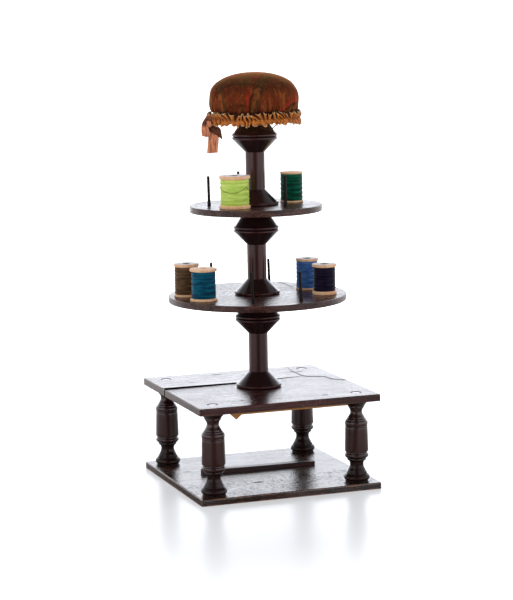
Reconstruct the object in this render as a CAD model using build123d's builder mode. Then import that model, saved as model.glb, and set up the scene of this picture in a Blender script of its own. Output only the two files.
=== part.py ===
from build123d import *

import os
from math import cos, pi, radians, sin

# A table-top sewing stand: a small turned table that carries a three-length column, two round
# tiers of pegs for cotton reels, and a pincushion. Millimetres, +Z up, +X along the front edge
# to the right, origin at the centre of the bottom board's underside.

# ---- driving dimensions -------------------------------------------------------------------

# boards
BOARD_SIDE = 189.0
BASE_THICKNESS = 6.5
TOP_THICKNESS = 7.0
BOARD_CORNER_RADIUS = 2.0
BOARD_EDGE_RADIUS = 1.3

# the split in the top board: open at the left edge, closing towards the right
SPLIT_MOUTH = 2.2
SPLIT_TURN_WIDTH = 0.8
SPLIT_SETBACK = 20.0  # behind the board's centre line, at the left edge
SPLIT_TURN = (-16.0, 1.8)  # where it bends: x, and how much further back than at the edge
SPLIT_TIP = (60.0, 12.5)

# turned legs, between the two boards
LEG_HEIGHT = 82.5
LEG_INSET = 19.0  # board edge to leg axis
BARREL_RADIUS = 11.2
BARREL_GROOVE_DEPTH = 0.9
BARREL_GROOVE_HEIGHT = 1.4
LEG_RING_RADIUS = 11.9
LEG_RING_HEIGHT = 4.2
LEG_STEP_RADIUS = 9.0
LEG_STEP_HEIGHT = 1.8
LEG_NECK_RADIUS = 6.3
LEG_COVE_HEIGHT = 12.4
LEG_COLLAR_RADIUS = 10.0
LEG_COLLAR_HEIGHT = 1.2
LEG_BEAD_RADIUS = 13.0
LEG_BEAD_HEIGHT = 6.2
FOOT_PAD_RADIUS = 11.3
FOOT_PAD_HEIGHT = 3.0
LEG_TENON_RADIUS = 4.6
TENON_SINK = 0.3  # the tenon's end stops this far below the board's face
BASE_MORTISE_DEPTH = 4.5

# column lengths, board or tier face to the underside of what stands above
LOWER_COLUMN_HEIGHT = 88.5
MIDDLE_COLUMN_HEIGHT = 84.0
UPPER_COLUMN_HEIGHT = 86.6
SHAFT_RADIUS = 9.8
RIM_RADIUS = 23.0
RIM_HEIGHT = 3.2
RIM_BEVEL = 1.0
BASE_CONE_RADIUS = 21.6
BASE_CONE_HEIGHT = 12.4
CAPITAL_RADIUS = 21.7
CAPITAL_CONE_HEIGHT = 12.4
BEAD_RADIUS = 23.0
BEAD_HEIGHT = 3.3  # each of the two beads
BEAD_GROOVE_DEPTH = 1.5
CAPITAL_TOP_RADIUS = 11.0
CAPITAL_TOP_HEIGHT = 14.6
SPIGOT_RADIUS = 6.0
SPIGOT_ENGAGEMENT = 9.0

# round tiers
LOWER_TIER_RADIUS = 90.0
UPPER_TIER_RADIUS = 66.8
TIER_THICKNESS = 6.4
TIER_EDGE_RADIUS = 0.8

# pegs
PEG_RADIUS = 1.4
PEG_FOOT_RADIUS = 1.8
PEG_FOOT_HEIGHT = 8.0
PEG_TIP_CHAMFER = 0.4
PEG_HOLE_DEPTH = 5.0

# cotton reels
REEL_BORE_RADIUS = 3.2
REEL_CORE_RADIUS = 6.0
REEL_LIP_HEIGHT = 1.5
REEL_CHAMFER = 0.4
REEL_BEVEL_SLOPE = 0.45  # rise of the bevel inside a flange, for each mm in towards the core
REEL_SEAT_GAP = 0.1
WINDING_GAP = 0.05

# pincushion
CUSHION_RADIUS = 45.9
CUSHION_HEIGHT = 41.5
CUSHION_FOOT_INSET = 1.9  # the cloth is drawn in at the foot
CUSHION_BOARD_INSET = 1.0  # from the cushion's foot to the board's rim
CUSHION_BOARD_THICKNESS = 5.0
FRILL_DEPTH = 2.1  # from the frill's inner face to the middle of its pleats
FRILL_HEIGHT = 11.6
FRILL_DROP = 5.5  # below the cushion board's underside
FRILL_PLEATS = 42
FRILL_GAP = 0.6

# ribbon bow at the cushion's left; its parts hang from the knot, which is just under the frill
BOW_HEADING = 184.3
BOW_OVERHANG = -0.5  # of the bow's plane beyond the frill's pleats
KNOT_WIDTH = 5.4
KNOT_HEIGHT = 4.0
KNOT_DEPTH = 7.0
LOOP_LENGTH = 12.4
LOOP_WIDTH = 9.0
LOOP_DEPTH = 5.6
LOOP_TURN = 62.0
RIBBON_WIDTH = 10.6
RIBBON_THICKNESS = 1.2
LONG_TAIL_LENGTH = 28.4
LONG_TAIL_SLANT = 1.5  # of its cut end
SHORT_TAIL_LENGTH = 14.0
SHORT_TAIL_REACH = 9.8
SHORT_TAIL_THICKNESS = 3.0

# battens
UNDER_BATTEN_WIDTH = 14.0
UNDER_BATTEN_THICKNESS = 2.8
UNDER_BATTEN_SETBACK = 6.5  # from the board's front edge
UNDER_BATTEN_CLEARANCE = 1.0  # to the front legs' beads
SPLINTER_DROP = 7.4
SPLINTER_DEPTH = 4.0
SPLINTER_LENGTH = 11.5
LOOSE_BATTEN_LENGTH = 121.6
LOOSE_BATTEN_WIDTH = 8.0
LOOSE_BATTEN_LEFT_HEIGHT = 5.0
LOOSE_BATTEN_RIGHT_HEIGHT = 3.8
LOOSE_BATTEN_PLACE = (1.6, 11.2)
LOOSE_BATTEN_TURN = -0.8

# loose sewing thread
THREAD_RADIUS = 0.2
THREAD_LIFT = 0.05  # over what it lies on
THREAD_START_HEIGHT = 5.2  # on the blue reel, above the tier
THREAD_START_GAP = 0.4  # to the blue reel's winding

# fits
JOINT_GAP = 0.1  # glue line round a spigot, tenon or peg

# ---- levels, from the floor up ------------------------------------------------------------

base_face = BASE_THICKNESS
top_under = base_face + LEG_HEIGHT
top_face = top_under + TOP_THICKNESS
lower_tier_under = top_face + LOWER_COLUMN_HEIGHT
lower_tier_face = lower_tier_under + TIER_THICKNESS
upper_tier_under = lower_tier_face + MIDDLE_COLUMN_HEIGHT
upper_tier_face = upper_tier_under + TIER_THICKNESS
cushion_board_under = upper_tier_face + UPPER_COLUMN_HEIGHT
cushion_board_face = cushion_board_under + CUSHION_BOARD_THICKNESS

leg_place = BOARD_SIDE / 2 - LEG_INSET
LEGS = {
    "leg_front_left": (-leg_place, -leg_place),
    "leg_front_right": (leg_place, -leg_place),
    "leg_back_left": (-leg_place, leg_place),
    "leg_back_right": (leg_place, leg_place),
}

# Pegs were set out by eye: heading in degrees round the column's axis, distance from it, height
# above the tier, and lean in degrees towards LEAN_HEADING.
LEAN_HEADING = 160.0
LOWER_PEGS = {
    "lower_peg_olive": {"heading": 168.0, "distance": 71.6, "height": 29.0, "lean": 1.2},
    "lower_peg_teal": {"heading": 200.0, "distance": 69.0, "height": 29.0, "lean": 1.2},
    "lower_peg_front": {"heading": 247.0, "distance": 70.0, "height": 31.5, "lean": 3.8},
    "lower_peg_front_right": {"heading": 287.0, "distance": 72.0, "height": 29.5, "lean": 2.2},
    "lower_peg_navy": {"heading": 331.0, "distance": 68.5, "height": 29.0, "lean": 1.2},
    "lower_peg_blue": {"heading": 9.0, "distance": 58.5, "height": 29.0, "lean": 1.2},
    "lower_peg_back_right": {"heading": 60.0, "distance": 71.4, "height": 26.5, "lean": 1.6},
    "lower_peg_back_left": {"heading": 112.2, "distance": 70.0, "height": 26.0, "lean": 1.5},
}
UPPER_PEGS = {
    "upper_peg_left": {"heading": 162.0, "distance": 46.9, "height": 29.5, "lean": 0.9},
    "upper_peg_lime": {"heading": 220.5, "distance": 41.5, "height": 29.0, "lean": 0.8},
    "upper_peg_front_right": {"heading": 293.0, "distance": 43.5, "height": 31.5, "lean": 0.2},
    "upper_peg_dark_green": {"heading": 11.0, "distance": 42.5, "height": 28.0, "lean": 0.8},
    "upper_peg_back": {"heading": 93.5, "distance": 43.0, "height": 30.5, "lean": 1.0},
}

# Reels by the colour of their thread, each on the peg of that name.
LOWER_REELS = {
    "olive": {"height": 33.0, "flange_radius": 12.8, "thread_radius": 12.2},
    "teal": {"height": 32.0, "flange_radius": 13.7, "thread_radius": 12.4},
    "navy": {"height": 30.5, "flange_radius": 12.3, "thread_radius": 11.3},
    "blue": {"height": 31.6, "flange_radius": 11.8, "thread_radius": 11.3},
}
UPPER_REELS = {
    "lime": {"height": 32.5, "flange_radius": 15.5, "thread_radius": 14.9},
    "dark_green": {"height": 30.6, "flange_radius": 11.7, "thread_radius": 11.4},
}

os.makedirs("parts", exist_ok=True)


def polar_place(heading, distance, height=0.0):
    """A point at a heading and distance from the column's axis."""
    return (distance * cos(radians(heading)), distance * sin(radians(heading)), height)


def peg_plane(heading, distance, height, lean):
    """The plane a peg stands on: its normal leans towards LEAN_HEADING."""
    tilt = (
        sin(radians(lean)) * cos(radians(LEAN_HEADING)),
        sin(radians(lean)) * sin(radians(LEAN_HEADING)),
        cos(radians(lean)),
    )
    return Plane(origin=polar_place(heading, distance, height), z_dir=tilt)


# ---- boards -------------------------------------------------------------------------------

with BuildPart() as bottom_board:
    with BuildSketch():
        RectangleRounded(BOARD_SIDE, BOARD_SIDE, BOARD_CORNER_RADIUS)
    extrude(amount=BASE_THICKNESS)
    fillet(bottom_board.edges().group_by(Axis.Z)[-1], BOARD_EDGE_RADIUS)
    with BuildSketch(Plane.XY.offset(base_face - BASE_MORTISE_DEPTH - JOINT_GAP)):
        with Locations(*LEGS.values()):
            Circle(LEG_TENON_RADIUS + JOINT_GAP)
    extrude(amount=BASE_MORTISE_DEPTH + JOINT_GAP, mode=Mode.SUBTRACT)

bottom_board.part.label = "bottom_board"
export_step(bottom_board.part, "parts/bottom_board.step")

with BuildPart() as top_board:
    with BuildSketch(Plane.XY.offset(top_under)):
        RectangleRounded(BOARD_SIDE, BOARD_SIDE, BOARD_CORNER_RADIUS)
    extrude(amount=TOP_THICKNESS)
    fillet(top_board.edges().group_by(Axis.Z)[-1], BOARD_EDGE_RADIUS)
    # through mortises for the four legs, and one for the column's spigot
    with BuildSketch(Plane.XY.offset(top_under)):
        with Locations(*LEGS.values()):
            Circle(LEG_TENON_RADIUS + JOINT_GAP)
        Circle(SPIGOT_RADIUS + JOINT_GAP)
    extrude(amount=TOP_THICKNESS, mode=Mode.SUBTRACT)
    # the split is a thin wedge along the grain
    with BuildSketch(Plane.XY.offset(top_under)):
        with BuildLine():
            mouth_x = -BOARD_SIDE / 2 - 1
            turn = (SPLIT_TURN[0], SPLIT_SETBACK + SPLIT_TURN[1])
            tip = (SPLIT_TIP[0], SPLIT_SETBACK + SPLIT_TIP[1])
            Polyline(
                (mouth_x, SPLIT_SETBACK - SPLIT_MOUTH / 2),
                (turn[0], turn[1] - SPLIT_TURN_WIDTH / 2),
                tip,
                (turn[0], turn[1] + SPLIT_TURN_WIDTH / 2),
                (mouth_x, SPLIT_SETBACK + SPLIT_MOUTH / 2),
                close=True,
            )
        make_face()
    extrude(amount=TOP_THICKNESS, mode=Mode.SUBTRACT)

top_board.part.label = "top_board"
export_step(top_board.part, "parts/top_board.step")

# ---- turned legs --------------------------------------------------------------------------

# Both ends of a leg are turned alike, from the barrel out: groove, ring, step, cove, collar and
# bead. The barrel takes up what is left of the height, and the foot stands on a thin pad.
leg_end_height = (
    BARREL_GROOVE_HEIGHT
    + LEG_RING_HEIGHT
    + LEG_STEP_HEIGHT
    + LEG_COVE_HEIGHT
    + LEG_COLLAR_HEIGHT
    + LEG_BEAD_HEIGHT
)
leg_half = (LEG_HEIGHT - FOOT_PAD_HEIGHT) / 2
barrel_half = leg_half - leg_end_height

with BuildPart() as turned_leg:
    with BuildSketch(Plane.XZ):
        with BuildLine():
            groove_z = barrel_half + BARREL_GROOVE_HEIGHT
            ring_z = groove_z + LEG_RING_HEIGHT
            step_z = ring_z + LEG_STEP_HEIGHT
            cove_z = step_z + LEG_COVE_HEIGHT
            collar_z = cove_z + LEG_COLLAR_HEIGHT
            ring_root = LEG_RING_RADIUS - BARREL_GROOVE_DEPTH
            Polyline(
                (0, 0),
                (BARREL_RADIUS, 0),
                (BARREL_RADIUS, barrel_half),
                (BARREL_RADIUS - BARREL_GROOVE_DEPTH, (barrel_half + groove_z) / 2),
                (ring_root, groove_z),
            )
            ThreePointArc(
                (ring_root, groove_z),
                (LEG_RING_RADIUS, (groove_z + ring_z) / 2),
                (ring_root, ring_z),
            )
            Polyline(
                (ring_root, ring_z),
                (LEG_STEP_RADIUS + 0.5, ring_z + 0.4),
                (LEG_STEP_RADIUS, step_z),
            )
            ThreePointArc(
                (LEG_STEP_RADIUS, step_z),
                (LEG_NECK_RADIUS, (step_z + cove_z) / 2),
                (LEG_COLLAR_RADIUS, cove_z),
            )
            Line((LEG_COLLAR_RADIUS, cove_z), (LEG_COLLAR_RADIUS, collar_z))
            ThreePointArc(
                (LEG_COLLAR_RADIUS, collar_z),
                (LEG_BEAD_RADIUS, collar_z + LEG_BEAD_HEIGHT * 0.55),
                (LEG_COLLAR_RADIUS + 1.2, leg_half),
            )
            Polyline((LEG_COLLAR_RADIUS + 1.2, leg_half), (0, leg_half), (0, 0))
        make_face()
    revolve(axis=Axis.Z)
    mirror(about=Plane.XY)
    # foot pad, and a tenon into each board
    with BuildSketch(Plane.XY.offset(-leg_half - FOOT_PAD_HEIGHT)):
        Circle(FOOT_PAD_RADIUS)
    extrude(amount=FOOT_PAD_HEIGHT)
    with BuildSketch(Plane.XY.offset(-leg_half - FOOT_PAD_HEIGHT - BASE_MORTISE_DEPTH)):
        Circle(LEG_TENON_RADIUS)
    extrude(amount=BASE_MORTISE_DEPTH)
    with BuildSketch(Plane.XY.offset(leg_half)):
        Circle(LEG_TENON_RADIUS)
    extrude(amount=TOP_THICKNESS - TENON_SINK)

for leg_name, (leg_x, leg_y) in LEGS.items():
    with BuildPart() as leg:
        with Locations((leg_x, leg_y, top_under - leg_half)):
            add(turned_leg.part)
    leg.part.label = leg_name
    export_step(leg.part, f"parts/{leg_name}.step")

# ---- battens ------------------------------------------------------------------------------

# pale batten under the front edge of the top board, its left end splintered downwards
front_batten_half = leg_place - LEG_BEAD_RADIUS - UNDER_BATTEN_CLEARANCE
front_batten_y = -BOARD_SIDE / 2 + UNDER_BATTEN_SETBACK

with BuildPart() as front_batten:
    with BuildSketch(Plane.XY.offset(top_under - UNDER_BATTEN_THICKNESS)):
        with Locations((SPLINTER_LENGTH / 4, front_batten_y + UNDER_BATTEN_WIDTH / 2)):
            Rectangle(2 * front_batten_half - SPLINTER_LENGTH / 2, UNDER_BATTEN_WIDTH)
    extrude(amount=UNDER_BATTEN_THICKNESS)
    with BuildSketch(Plane.XZ.offset(-front_batten_y)):
        with BuildLine():
            left = -front_batten_half
            Polyline(
                (left, top_under),
                (left + SPLINTER_LENGTH, top_under),
                (left + SPLINTER_LENGTH, top_under - UNDER_BATTEN_THICKNESS),
                (left + SPLINTER_LENGTH * 0.55, top_under - SPLINTER_DROP),
                (left, top_under - UNDER_BATTEN_THICKNESS / 2),
                close=True,
            )
        make_face()
    extrude(amount=-SPLINTER_DEPTH)

front_batten.part.label = "front_batten"
export_step(front_batten.part, "parts/front_batten.step")

# dark batten lying on the bottom board, lower at its right end
with BuildPart() as loose_batten:
    batten_plane = Plane(
        origin=(LOOSE_BATTEN_PLACE[0], LOOSE_BATTEN_PLACE[1], base_face),
        x_dir=(cos(radians(LOOSE_BATTEN_TURN)), sin(radians(LOOSE_BATTEN_TURN)), 0),
        z_dir=(sin(radians(LOOSE_BATTEN_TURN)), -cos(radians(LOOSE_BATTEN_TURN)), 0),
    )
    with BuildSketch(batten_plane):
        with BuildLine():
            Polyline(
                (-LOOSE_BATTEN_LENGTH / 2, 0),
                (LOOSE_BATTEN_LENGTH / 2, 0),
                (LOOSE_BATTEN_LENGTH / 2, LOOSE_BATTEN_RIGHT_HEIGHT),
                (-LOOSE_BATTEN_LENGTH / 2, LOOSE_BATTEN_LEFT_HEIGHT),
                close=True,
            )
        make_face()
    extrude(amount=LOOSE_BATTEN_WIDTH / 2, both=True)

loose_batten.part.label = "loose_batten"
export_step(loose_batten.part, "parts/loose_batten.step")

# ---- column -------------------------------------------------------------------------------


def turn_column_length(foot_z, height, through, socketed):
    """Turn one column length: rim, cone, shaft, capital cone, two beads and an upper cone.

    The spigot on top goes through a disc of thickness through and on by SPIGOT_ENGAGEMENT. A
    socketed length takes the spigot of the one below. Otherwise it stands on a spigot of its own
    in the top board.
    """
    rim_z = foot_z + RIM_HEIGHT
    shaft_foot = rim_z + BASE_CONE_HEIGHT
    top = foot_z + height
    upper_cone = top - CAPITAL_TOP_HEIGHT
    beads = upper_cone - 2 * BEAD_HEIGHT
    shaft_head = beads - CAPITAL_CONE_HEIGHT
    groove = BEAD_RADIUS - BEAD_GROOVE_DEPTH
    with BuildPart() as length:
        with BuildSketch(Plane.XZ):
            with BuildLine():
                Polyline(
                    (0, foot_z),
                    (RIM_RADIUS - RIM_BEVEL, foot_z),
                    (RIM_RADIUS, foot_z + RIM_BEVEL),
                    (RIM_RADIUS, rim_z - RIM_BEVEL / 2),
                    (RIM_RADIUS - RIM_BEVEL / 2, rim_z),
                    (BASE_CONE_RADIUS, rim_z),
                    (SHAFT_RADIUS, shaft_foot),
                    (SHAFT_RADIUS, shaft_head),
                    (CAPITAL_RADIUS, beads),
                    (groove, beads),
                )
                ThreePointArc(
                    (groove, beads),
                    (BEAD_RADIUS, beads + BEAD_HEIGHT / 2),
                    (groove, beads + BEAD_HEIGHT),
                )
                ThreePointArc(
                    (groove, beads + BEAD_HEIGHT),
                    (BEAD_RADIUS, beads + BEAD_HEIGHT * 1.5),
                    (groove, upper_cone),
                )
                Polyline(
                    (groove, upper_cone),
                    (CAPITAL_TOP_RADIUS, top),
                    (0, top),
                    (0, foot_z),
                )
            make_face()
        revolve(axis=Axis.Z)
        with BuildSketch(Plane.XY.offset(top)):
            Circle(SPIGOT_RADIUS)
        extrude(amount=through + SPIGOT_ENGAGEMENT)
        with BuildSketch(Plane.XY.offset(foot_z)):
            Circle(SPIGOT_RADIUS + JOINT_GAP if socketed else SPIGOT_RADIUS)
        if socketed:
            extrude(amount=SPIGOT_ENGAGEMENT + JOINT_GAP, mode=Mode.SUBTRACT)
        else:
            extrude(amount=TENON_SINK - TOP_THICKNESS)
    return length.part


column_lower = turn_column_length(top_face, LOWER_COLUMN_HEIGHT, TIER_THICKNESS, False)
column_lower.label = "column_lower"
export_step(column_lower, "parts/column_lower.step")

column_middle = turn_column_length(lower_tier_face, MIDDLE_COLUMN_HEIGHT, TIER_THICKNESS, True)
column_middle.label = "column_middle"
export_step(column_middle, "parts/column_middle.step")

# the upper length's spigot stops inside the cushion board
column_upper = turn_column_length(
    upper_tier_face,
    UPPER_COLUMN_HEIGHT,
    CUSHION_BOARD_THICKNESS - JOINT_GAP - SPIGOT_ENGAGEMENT,
    True,
)
column_upper.label = "column_upper"
export_step(column_upper, "parts/column_upper.step")

# ---- tiers and pegs -----------------------------------------------------------------------

for tier_name, radius, under, pegs in (
    ("lower_tier", LOWER_TIER_RADIUS, lower_tier_under, LOWER_PEGS),
    ("upper_tier", UPPER_TIER_RADIUS, upper_tier_under, UPPER_PEGS),
):
    face = under + TIER_THICKNESS
    with BuildPart() as tier:
        with BuildSketch(Plane.XY.offset(under)):
            Circle(radius)
            Circle(SPIGOT_RADIUS + JOINT_GAP, mode=Mode.SUBTRACT)
        extrude(amount=TIER_THICKNESS)
        rim_edges = tier.edges().filter_by(GeomType.CIRCLE).sort_by(SortBy.RADIUS)[-2:]
        fillet(rim_edges, TIER_EDGE_RADIUS)
        for peg_set in pegs.values():
            mouth = peg_plane(peg_set["heading"], peg_set["distance"], face, peg_set["lean"])
            # each peg hole starts just above the face, so its leaning mouth is cut clean
            with BuildSketch(mouth.offset(1)):
                Circle(PEG_FOOT_RADIUS + JOINT_GAP)
            extrude(amount=-PEG_HOLE_DEPTH - JOINT_GAP - 1, mode=Mode.SUBTRACT)
    tier.part.label = tier_name
    export_step(tier.part, f"parts/{tier_name}.step")

    for peg_name, peg_set in pegs.items():
        height = peg_set["height"]
        mouth = peg_plane(peg_set["heading"], peg_set["distance"], face, peg_set["lean"])
        with BuildPart() as turned_peg:
            with BuildSketch(Plane.XZ):
                with BuildLine():
                    Polyline(
                        (0, -PEG_HOLE_DEPTH),
                        (PEG_FOOT_RADIUS, -PEG_HOLE_DEPTH),
                        (PEG_FOOT_RADIUS, 0),
                        (PEG_RADIUS, PEG_FOOT_HEIGHT),
                        (PEG_RADIUS, height - PEG_TIP_CHAMFER),
                        (PEG_RADIUS - PEG_TIP_CHAMFER, height),
                        (0, height),
                        close=True,
                    )
                make_face()
            revolve(axis=Axis.Z)
        with BuildPart() as peg:
            with Locations(mouth.location):
                add(turned_peg.part)
        peg.part.label = peg_name
        export_step(peg.part, f"parts/{peg_name}.step")

# ---- cotton reels and their thread --------------------------------------------------------

for tier_name, reels, pegs, face in (
    ("lower", LOWER_REELS, LOWER_PEGS, lower_tier_face),
    ("upper", UPPER_REELS, UPPER_PEGS, upper_tier_face),
):
    for colour, reel_set in reels.items():
        height = reel_set["height"]
        flange = reel_set["flange_radius"]
        thread = reel_set["thread_radius"]
        peg_set = pegs[f"{tier_name}_peg_{colour}"]
        seat = face + REEL_SEAT_GAP
        reel_place = polar_place(peg_set["heading"], peg_set["distance"], seat)
        reel_plane = Plane(origin=reel_place, x_dir=(1, 0, 0), z_dir=(0, -1, 0))
        bevel = flange - REEL_CORE_RADIUS
        bevel_height = bevel * REEL_BEVEL_SLOPE
        with BuildPart() as reel:
            with BuildSketch(reel_plane):
                with BuildLine():
                    Polyline(
                        (REEL_BORE_RADIUS, 0),
                        (flange - REEL_CHAMFER, 0),
                        (flange, REEL_CHAMFER),
                        (flange, REEL_LIP_HEIGHT),
                        (REEL_CORE_RADIUS, REEL_LIP_HEIGHT + bevel_height),
                        (REEL_CORE_RADIUS, height - REEL_LIP_HEIGHT - bevel_height),
                        (flange, height - REEL_LIP_HEIGHT),
                        (flange, height - REEL_CHAMFER),
                        (flange - REEL_CHAMFER, height),
                        (REEL_BORE_RADIUS, height),
                        close=True,
                    )
                make_face()
            revolve(axis=Axis(reel_place, (0, 0, 1)))
        reel.part.label = f"reel_{colour}"
        export_step(reel.part, f"parts/reel_{colour}.step")

        # the winding fills the reel between its bevels
        core = REEL_CORE_RADIUS + WINDING_GAP
        low = REEL_LIP_HEIGHT + bevel_height + WINDING_GAP
        rise = (thread - core) * bevel_height / bevel
        with BuildPart() as winding:
            with BuildSketch(reel_plane):
                with BuildLine():
                    Polyline(
                        (core, low),
                        (thread, low - rise),
                        (thread, height - low + rise),
                        (core, height - low),
                        close=True,
                    )
                make_face()
            revolve(axis=Axis(reel_place, (0, 0, 1)))
        winding.part.label = f"thread_{colour}"
        export_step(winding.part, f"parts/thread_{colour}.step")

# ---- pincushion ---------------------------------------------------------------------------

cushion_foot_radius = CUSHION_RADIUS - CUSHION_FOOT_INSET

with BuildPart() as cushion_board:
    with BuildSketch(Plane.XY.offset(cushion_board_under)):
        Circle(cushion_foot_radius - CUSHION_BOARD_INSET)
    extrude(amount=CUSHION_BOARD_THICKNESS)
    with BuildSketch(Plane.XY.offset(cushion_board_under)):
        Circle(SPIGOT_RADIUS + JOINT_GAP)
    extrude(amount=CUSHION_BOARD_THICKNESS, mode=Mode.SUBTRACT)

cushion_board.part.label = "cushion_board"
export_step(cushion_board.part, "parts/cushion_board.step")

with BuildPart() as pincushion:
    with BuildSketch(Plane.XZ):
        with BuildLine():
            foot = cushion_board_face
            crown = foot + CUSHION_HEIGHT
            shoulder = foot + CUSHION_HEIGHT * 0.42
            Line((0, crown), (0, foot))
            Line((0, foot), (cushion_foot_radius, foot))
            Spline(
                (cushion_foot_radius, foot),
                (CUSHION_RADIUS, foot + CUSHION_HEIGHT * 0.25),
                (CUSHION_RADIUS, shoulder),
                (CUSHION_RADIUS * 0.88, foot + CUSHION_HEIGHT * 0.71),
                (CUSHION_RADIUS * 0.54, foot + CUSHION_HEIGHT * 0.925),
                (0, crown),
                tangents=((0.3, 1), (-1, 0)),
            )
        make_face()
    revolve(axis=Axis.Z)

pincushion.part.label = "pincushion"
export_step(pincushion.part, "parts/pincushion.step")

# gathered frill: a ring with a pleated outer face
frill_foot = cushion_board_under - FRILL_DROP
frill_inner = cushion_foot_radius + FRILL_GAP
frill_middle = frill_inner + FRILL_DEPTH
pleat_radius = FRILL_DEPTH * 0.75

with BuildPart() as frill:
    with BuildSketch(Plane.XY.offset(frill_foot)):
        Circle(frill_middle)
        with PolarLocations(frill_middle - pleat_radius / 2, FRILL_PLEATS):
            Circle(pleat_radius)
        Circle(frill_inner, mode=Mode.SUBTRACT)
    extrude(amount=FRILL_HEIGHT)

frill.part.label = "frill"
export_step(frill.part, "parts/frill.step")

# ribbon bow, drawn on an upright plane whose origin is the top of the knot
bow_radius = frill_middle + BOW_OVERHANG
bow_place = polar_place(BOW_HEADING, bow_radius, frill_foot - FRILL_GAP)
bow_face = Plane(origin=bow_place, x_dir=(0.94, -0.34, 0), z_dir=(-0.34, -0.94, 0))
half_ribbon = RIBBON_WIDTH / 2
loop_drop = LOOP_LENGTH * 0.48
tail_top = -KNOT_HEIGHT * 0.9

with BuildPart() as ribbon_bow:
    # knot
    with BuildSketch(bow_face):
        with Locations((0, -KNOT_HEIGHT / 2)):
            Ellipse(KNOT_WIDTH / 2, KNOT_HEIGHT / 2)
    extrude(amount=KNOT_DEPTH / 2, both=True)
    # the full loop, hanging to the left
    with BuildSketch(bow_face):
        with Locations(Location((-LOOP_WIDTH * 0.58, -loop_drop, 0), (0, 0, LOOP_TURN))):
            Ellipse(LOOP_LENGTH / 2, LOOP_WIDTH / 2)
    extrude(amount=LOOP_DEPTH / 2, both=True)
    # the flattened loop and the short tail, folded to a point at the right
    with BuildSketch(bow_face):
        with BuildLine():
            Polyline(
                (0, tail_top / 3),
                (KNOT_WIDTH * 0.8, 0),
                (SHORT_TAIL_REACH * 0.75, -SHORT_TAIL_LENGTH * 0.25),
                (SHORT_TAIL_REACH * 0.77, -SHORT_TAIL_LENGTH * 0.6),
                (SHORT_TAIL_REACH, -SHORT_TAIL_LENGTH),
                (SHORT_TAIL_REACH * 0.55, -SHORT_TAIL_LENGTH * 0.82),
                (-half_ribbon * 0.4, -SHORT_TAIL_LENGTH * 0.7),
                close=True,
            )
        make_face()
    extrude(amount=SHORT_TAIL_THICKNESS / 2, both=True)
    # the long tail
    with BuildSketch(bow_face):
        with BuildLine():
            Polyline(
                (-half_ribbon * 0.45, tail_top),
                (half_ribbon * 0.6, tail_top),
                (half_ribbon * 1.25, -LONG_TAIL_LENGTH * 0.36),
                (half_ribbon, -LONG_TAIL_LENGTH + LONG_TAIL_SLANT),
                (-half_ribbon, -LONG_TAIL_LENGTH),
                (-half_ribbon * 0.8, -LONG_TAIL_LENGTH * 0.36),
                close=True,
            )
        make_face()
    extrude(amount=RIBBON_THICKNESS / 2, both=True)

ribbon_bow.part.label = "ribbon_bow"
export_step(ribbon_bow.part, "parts/ribbon_bow.step")

# ---- loose sewing thread ------------------------------------------------------------------

# It comes off the blue reel, crosses the lower tier to its back edge, hangs to the top board
# and wanders over it to the right edge.
on_tier = lower_tier_face + THREAD_RADIUS + THREAD_LIFT
on_board = top_face + THREAD_RADIUS + THREAD_LIFT
thread_fall = lower_tier_face - top_face
half_board = BOARD_SIDE / 2
blue_peg = LOWER_PEGS["lower_peg_blue"]
blue_x, blue_y, _ = polar_place(blue_peg["heading"], blue_peg["distance"])
thread_start_x = blue_x - LOWER_REELS["blue"]["thread_radius"] - THREAD_RADIUS - THREAD_START_GAP

# on the tier: shares of its radius, and the height above its face
THREAD_OVER_TIER = [
    (0.508, 0.187, on_tier - lower_tier_face + THREAD_START_HEIGHT * 0.5),
    (0.524, 0.278, on_tier - lower_tier_face + 1.5 * THREAD_RADIUS),
    (0.540, 0.400, on_tier - lower_tier_face),
    (0.558, 0.544, on_tier - lower_tier_face),
    (0.556, 0.667, on_tier - lower_tier_face),
    (0.559, 0.750, on_tier - lower_tier_face),
    (0.558, 0.793, on_tier - lower_tier_face + THREAD_LIFT),
    (0.559, 0.830, on_tier - lower_tier_face + 5 * THREAD_LIFT),
]
# hanging: shares of the tier's radius, and of the fall to the top board
THREAD_HANGING = [
    (0.560, 0.8456, 0.0095),
    (0.559, 0.8489, 0.042),
    (0.561, 0.8478, 0.105),
    (0.566, 0.8489, 0.232),
    (0.570, 0.8478, 0.443),
    (0.584, 0.8489, 0.653),
    (0.603, 0.8433, 0.822),
    (0.632, 0.8267, 0.932),
    (0.656, 0.7933, 0.983),
]
# on the top board: shares of half its side
THREAD_OVER_BOARD = [
    (0.637, 0.705),
    (0.638, 0.614),
    (0.649, 0.497),
    (0.641, 0.392),
    (0.660, 0.312),
    (0.720, 0.273),
    (0.800, 0.250),
    (0.849, 0.186),
    (0.851, 0.095),
    (0.878, 0.005),
    (0.933, -0.049),
    (0.986, -0.066),
]
THREAD_ROUTE = [(thread_start_x, blue_y + 1.0, lower_tier_face + THREAD_START_HEIGHT)]
for share_x, share_y, rise in THREAD_OVER_TIER:
    here_x = share_x * LOWER_TIER_RADIUS
    THREAD_ROUTE.append((here_x, share_y * LOWER_TIER_RADIUS, lower_tier_face + rise))
for share_x, share_y, drop in THREAD_HANGING:
    here_z = lower_tier_face - drop * thread_fall
    THREAD_ROUTE.append((share_x * LOWER_TIER_RADIUS, share_y * LOWER_TIER_RADIUS, here_z))
for share_x, share_y in THREAD_OVER_BOARD:
    THREAD_ROUTE.append((share_x * half_board, share_y * half_board, on_board))


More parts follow.
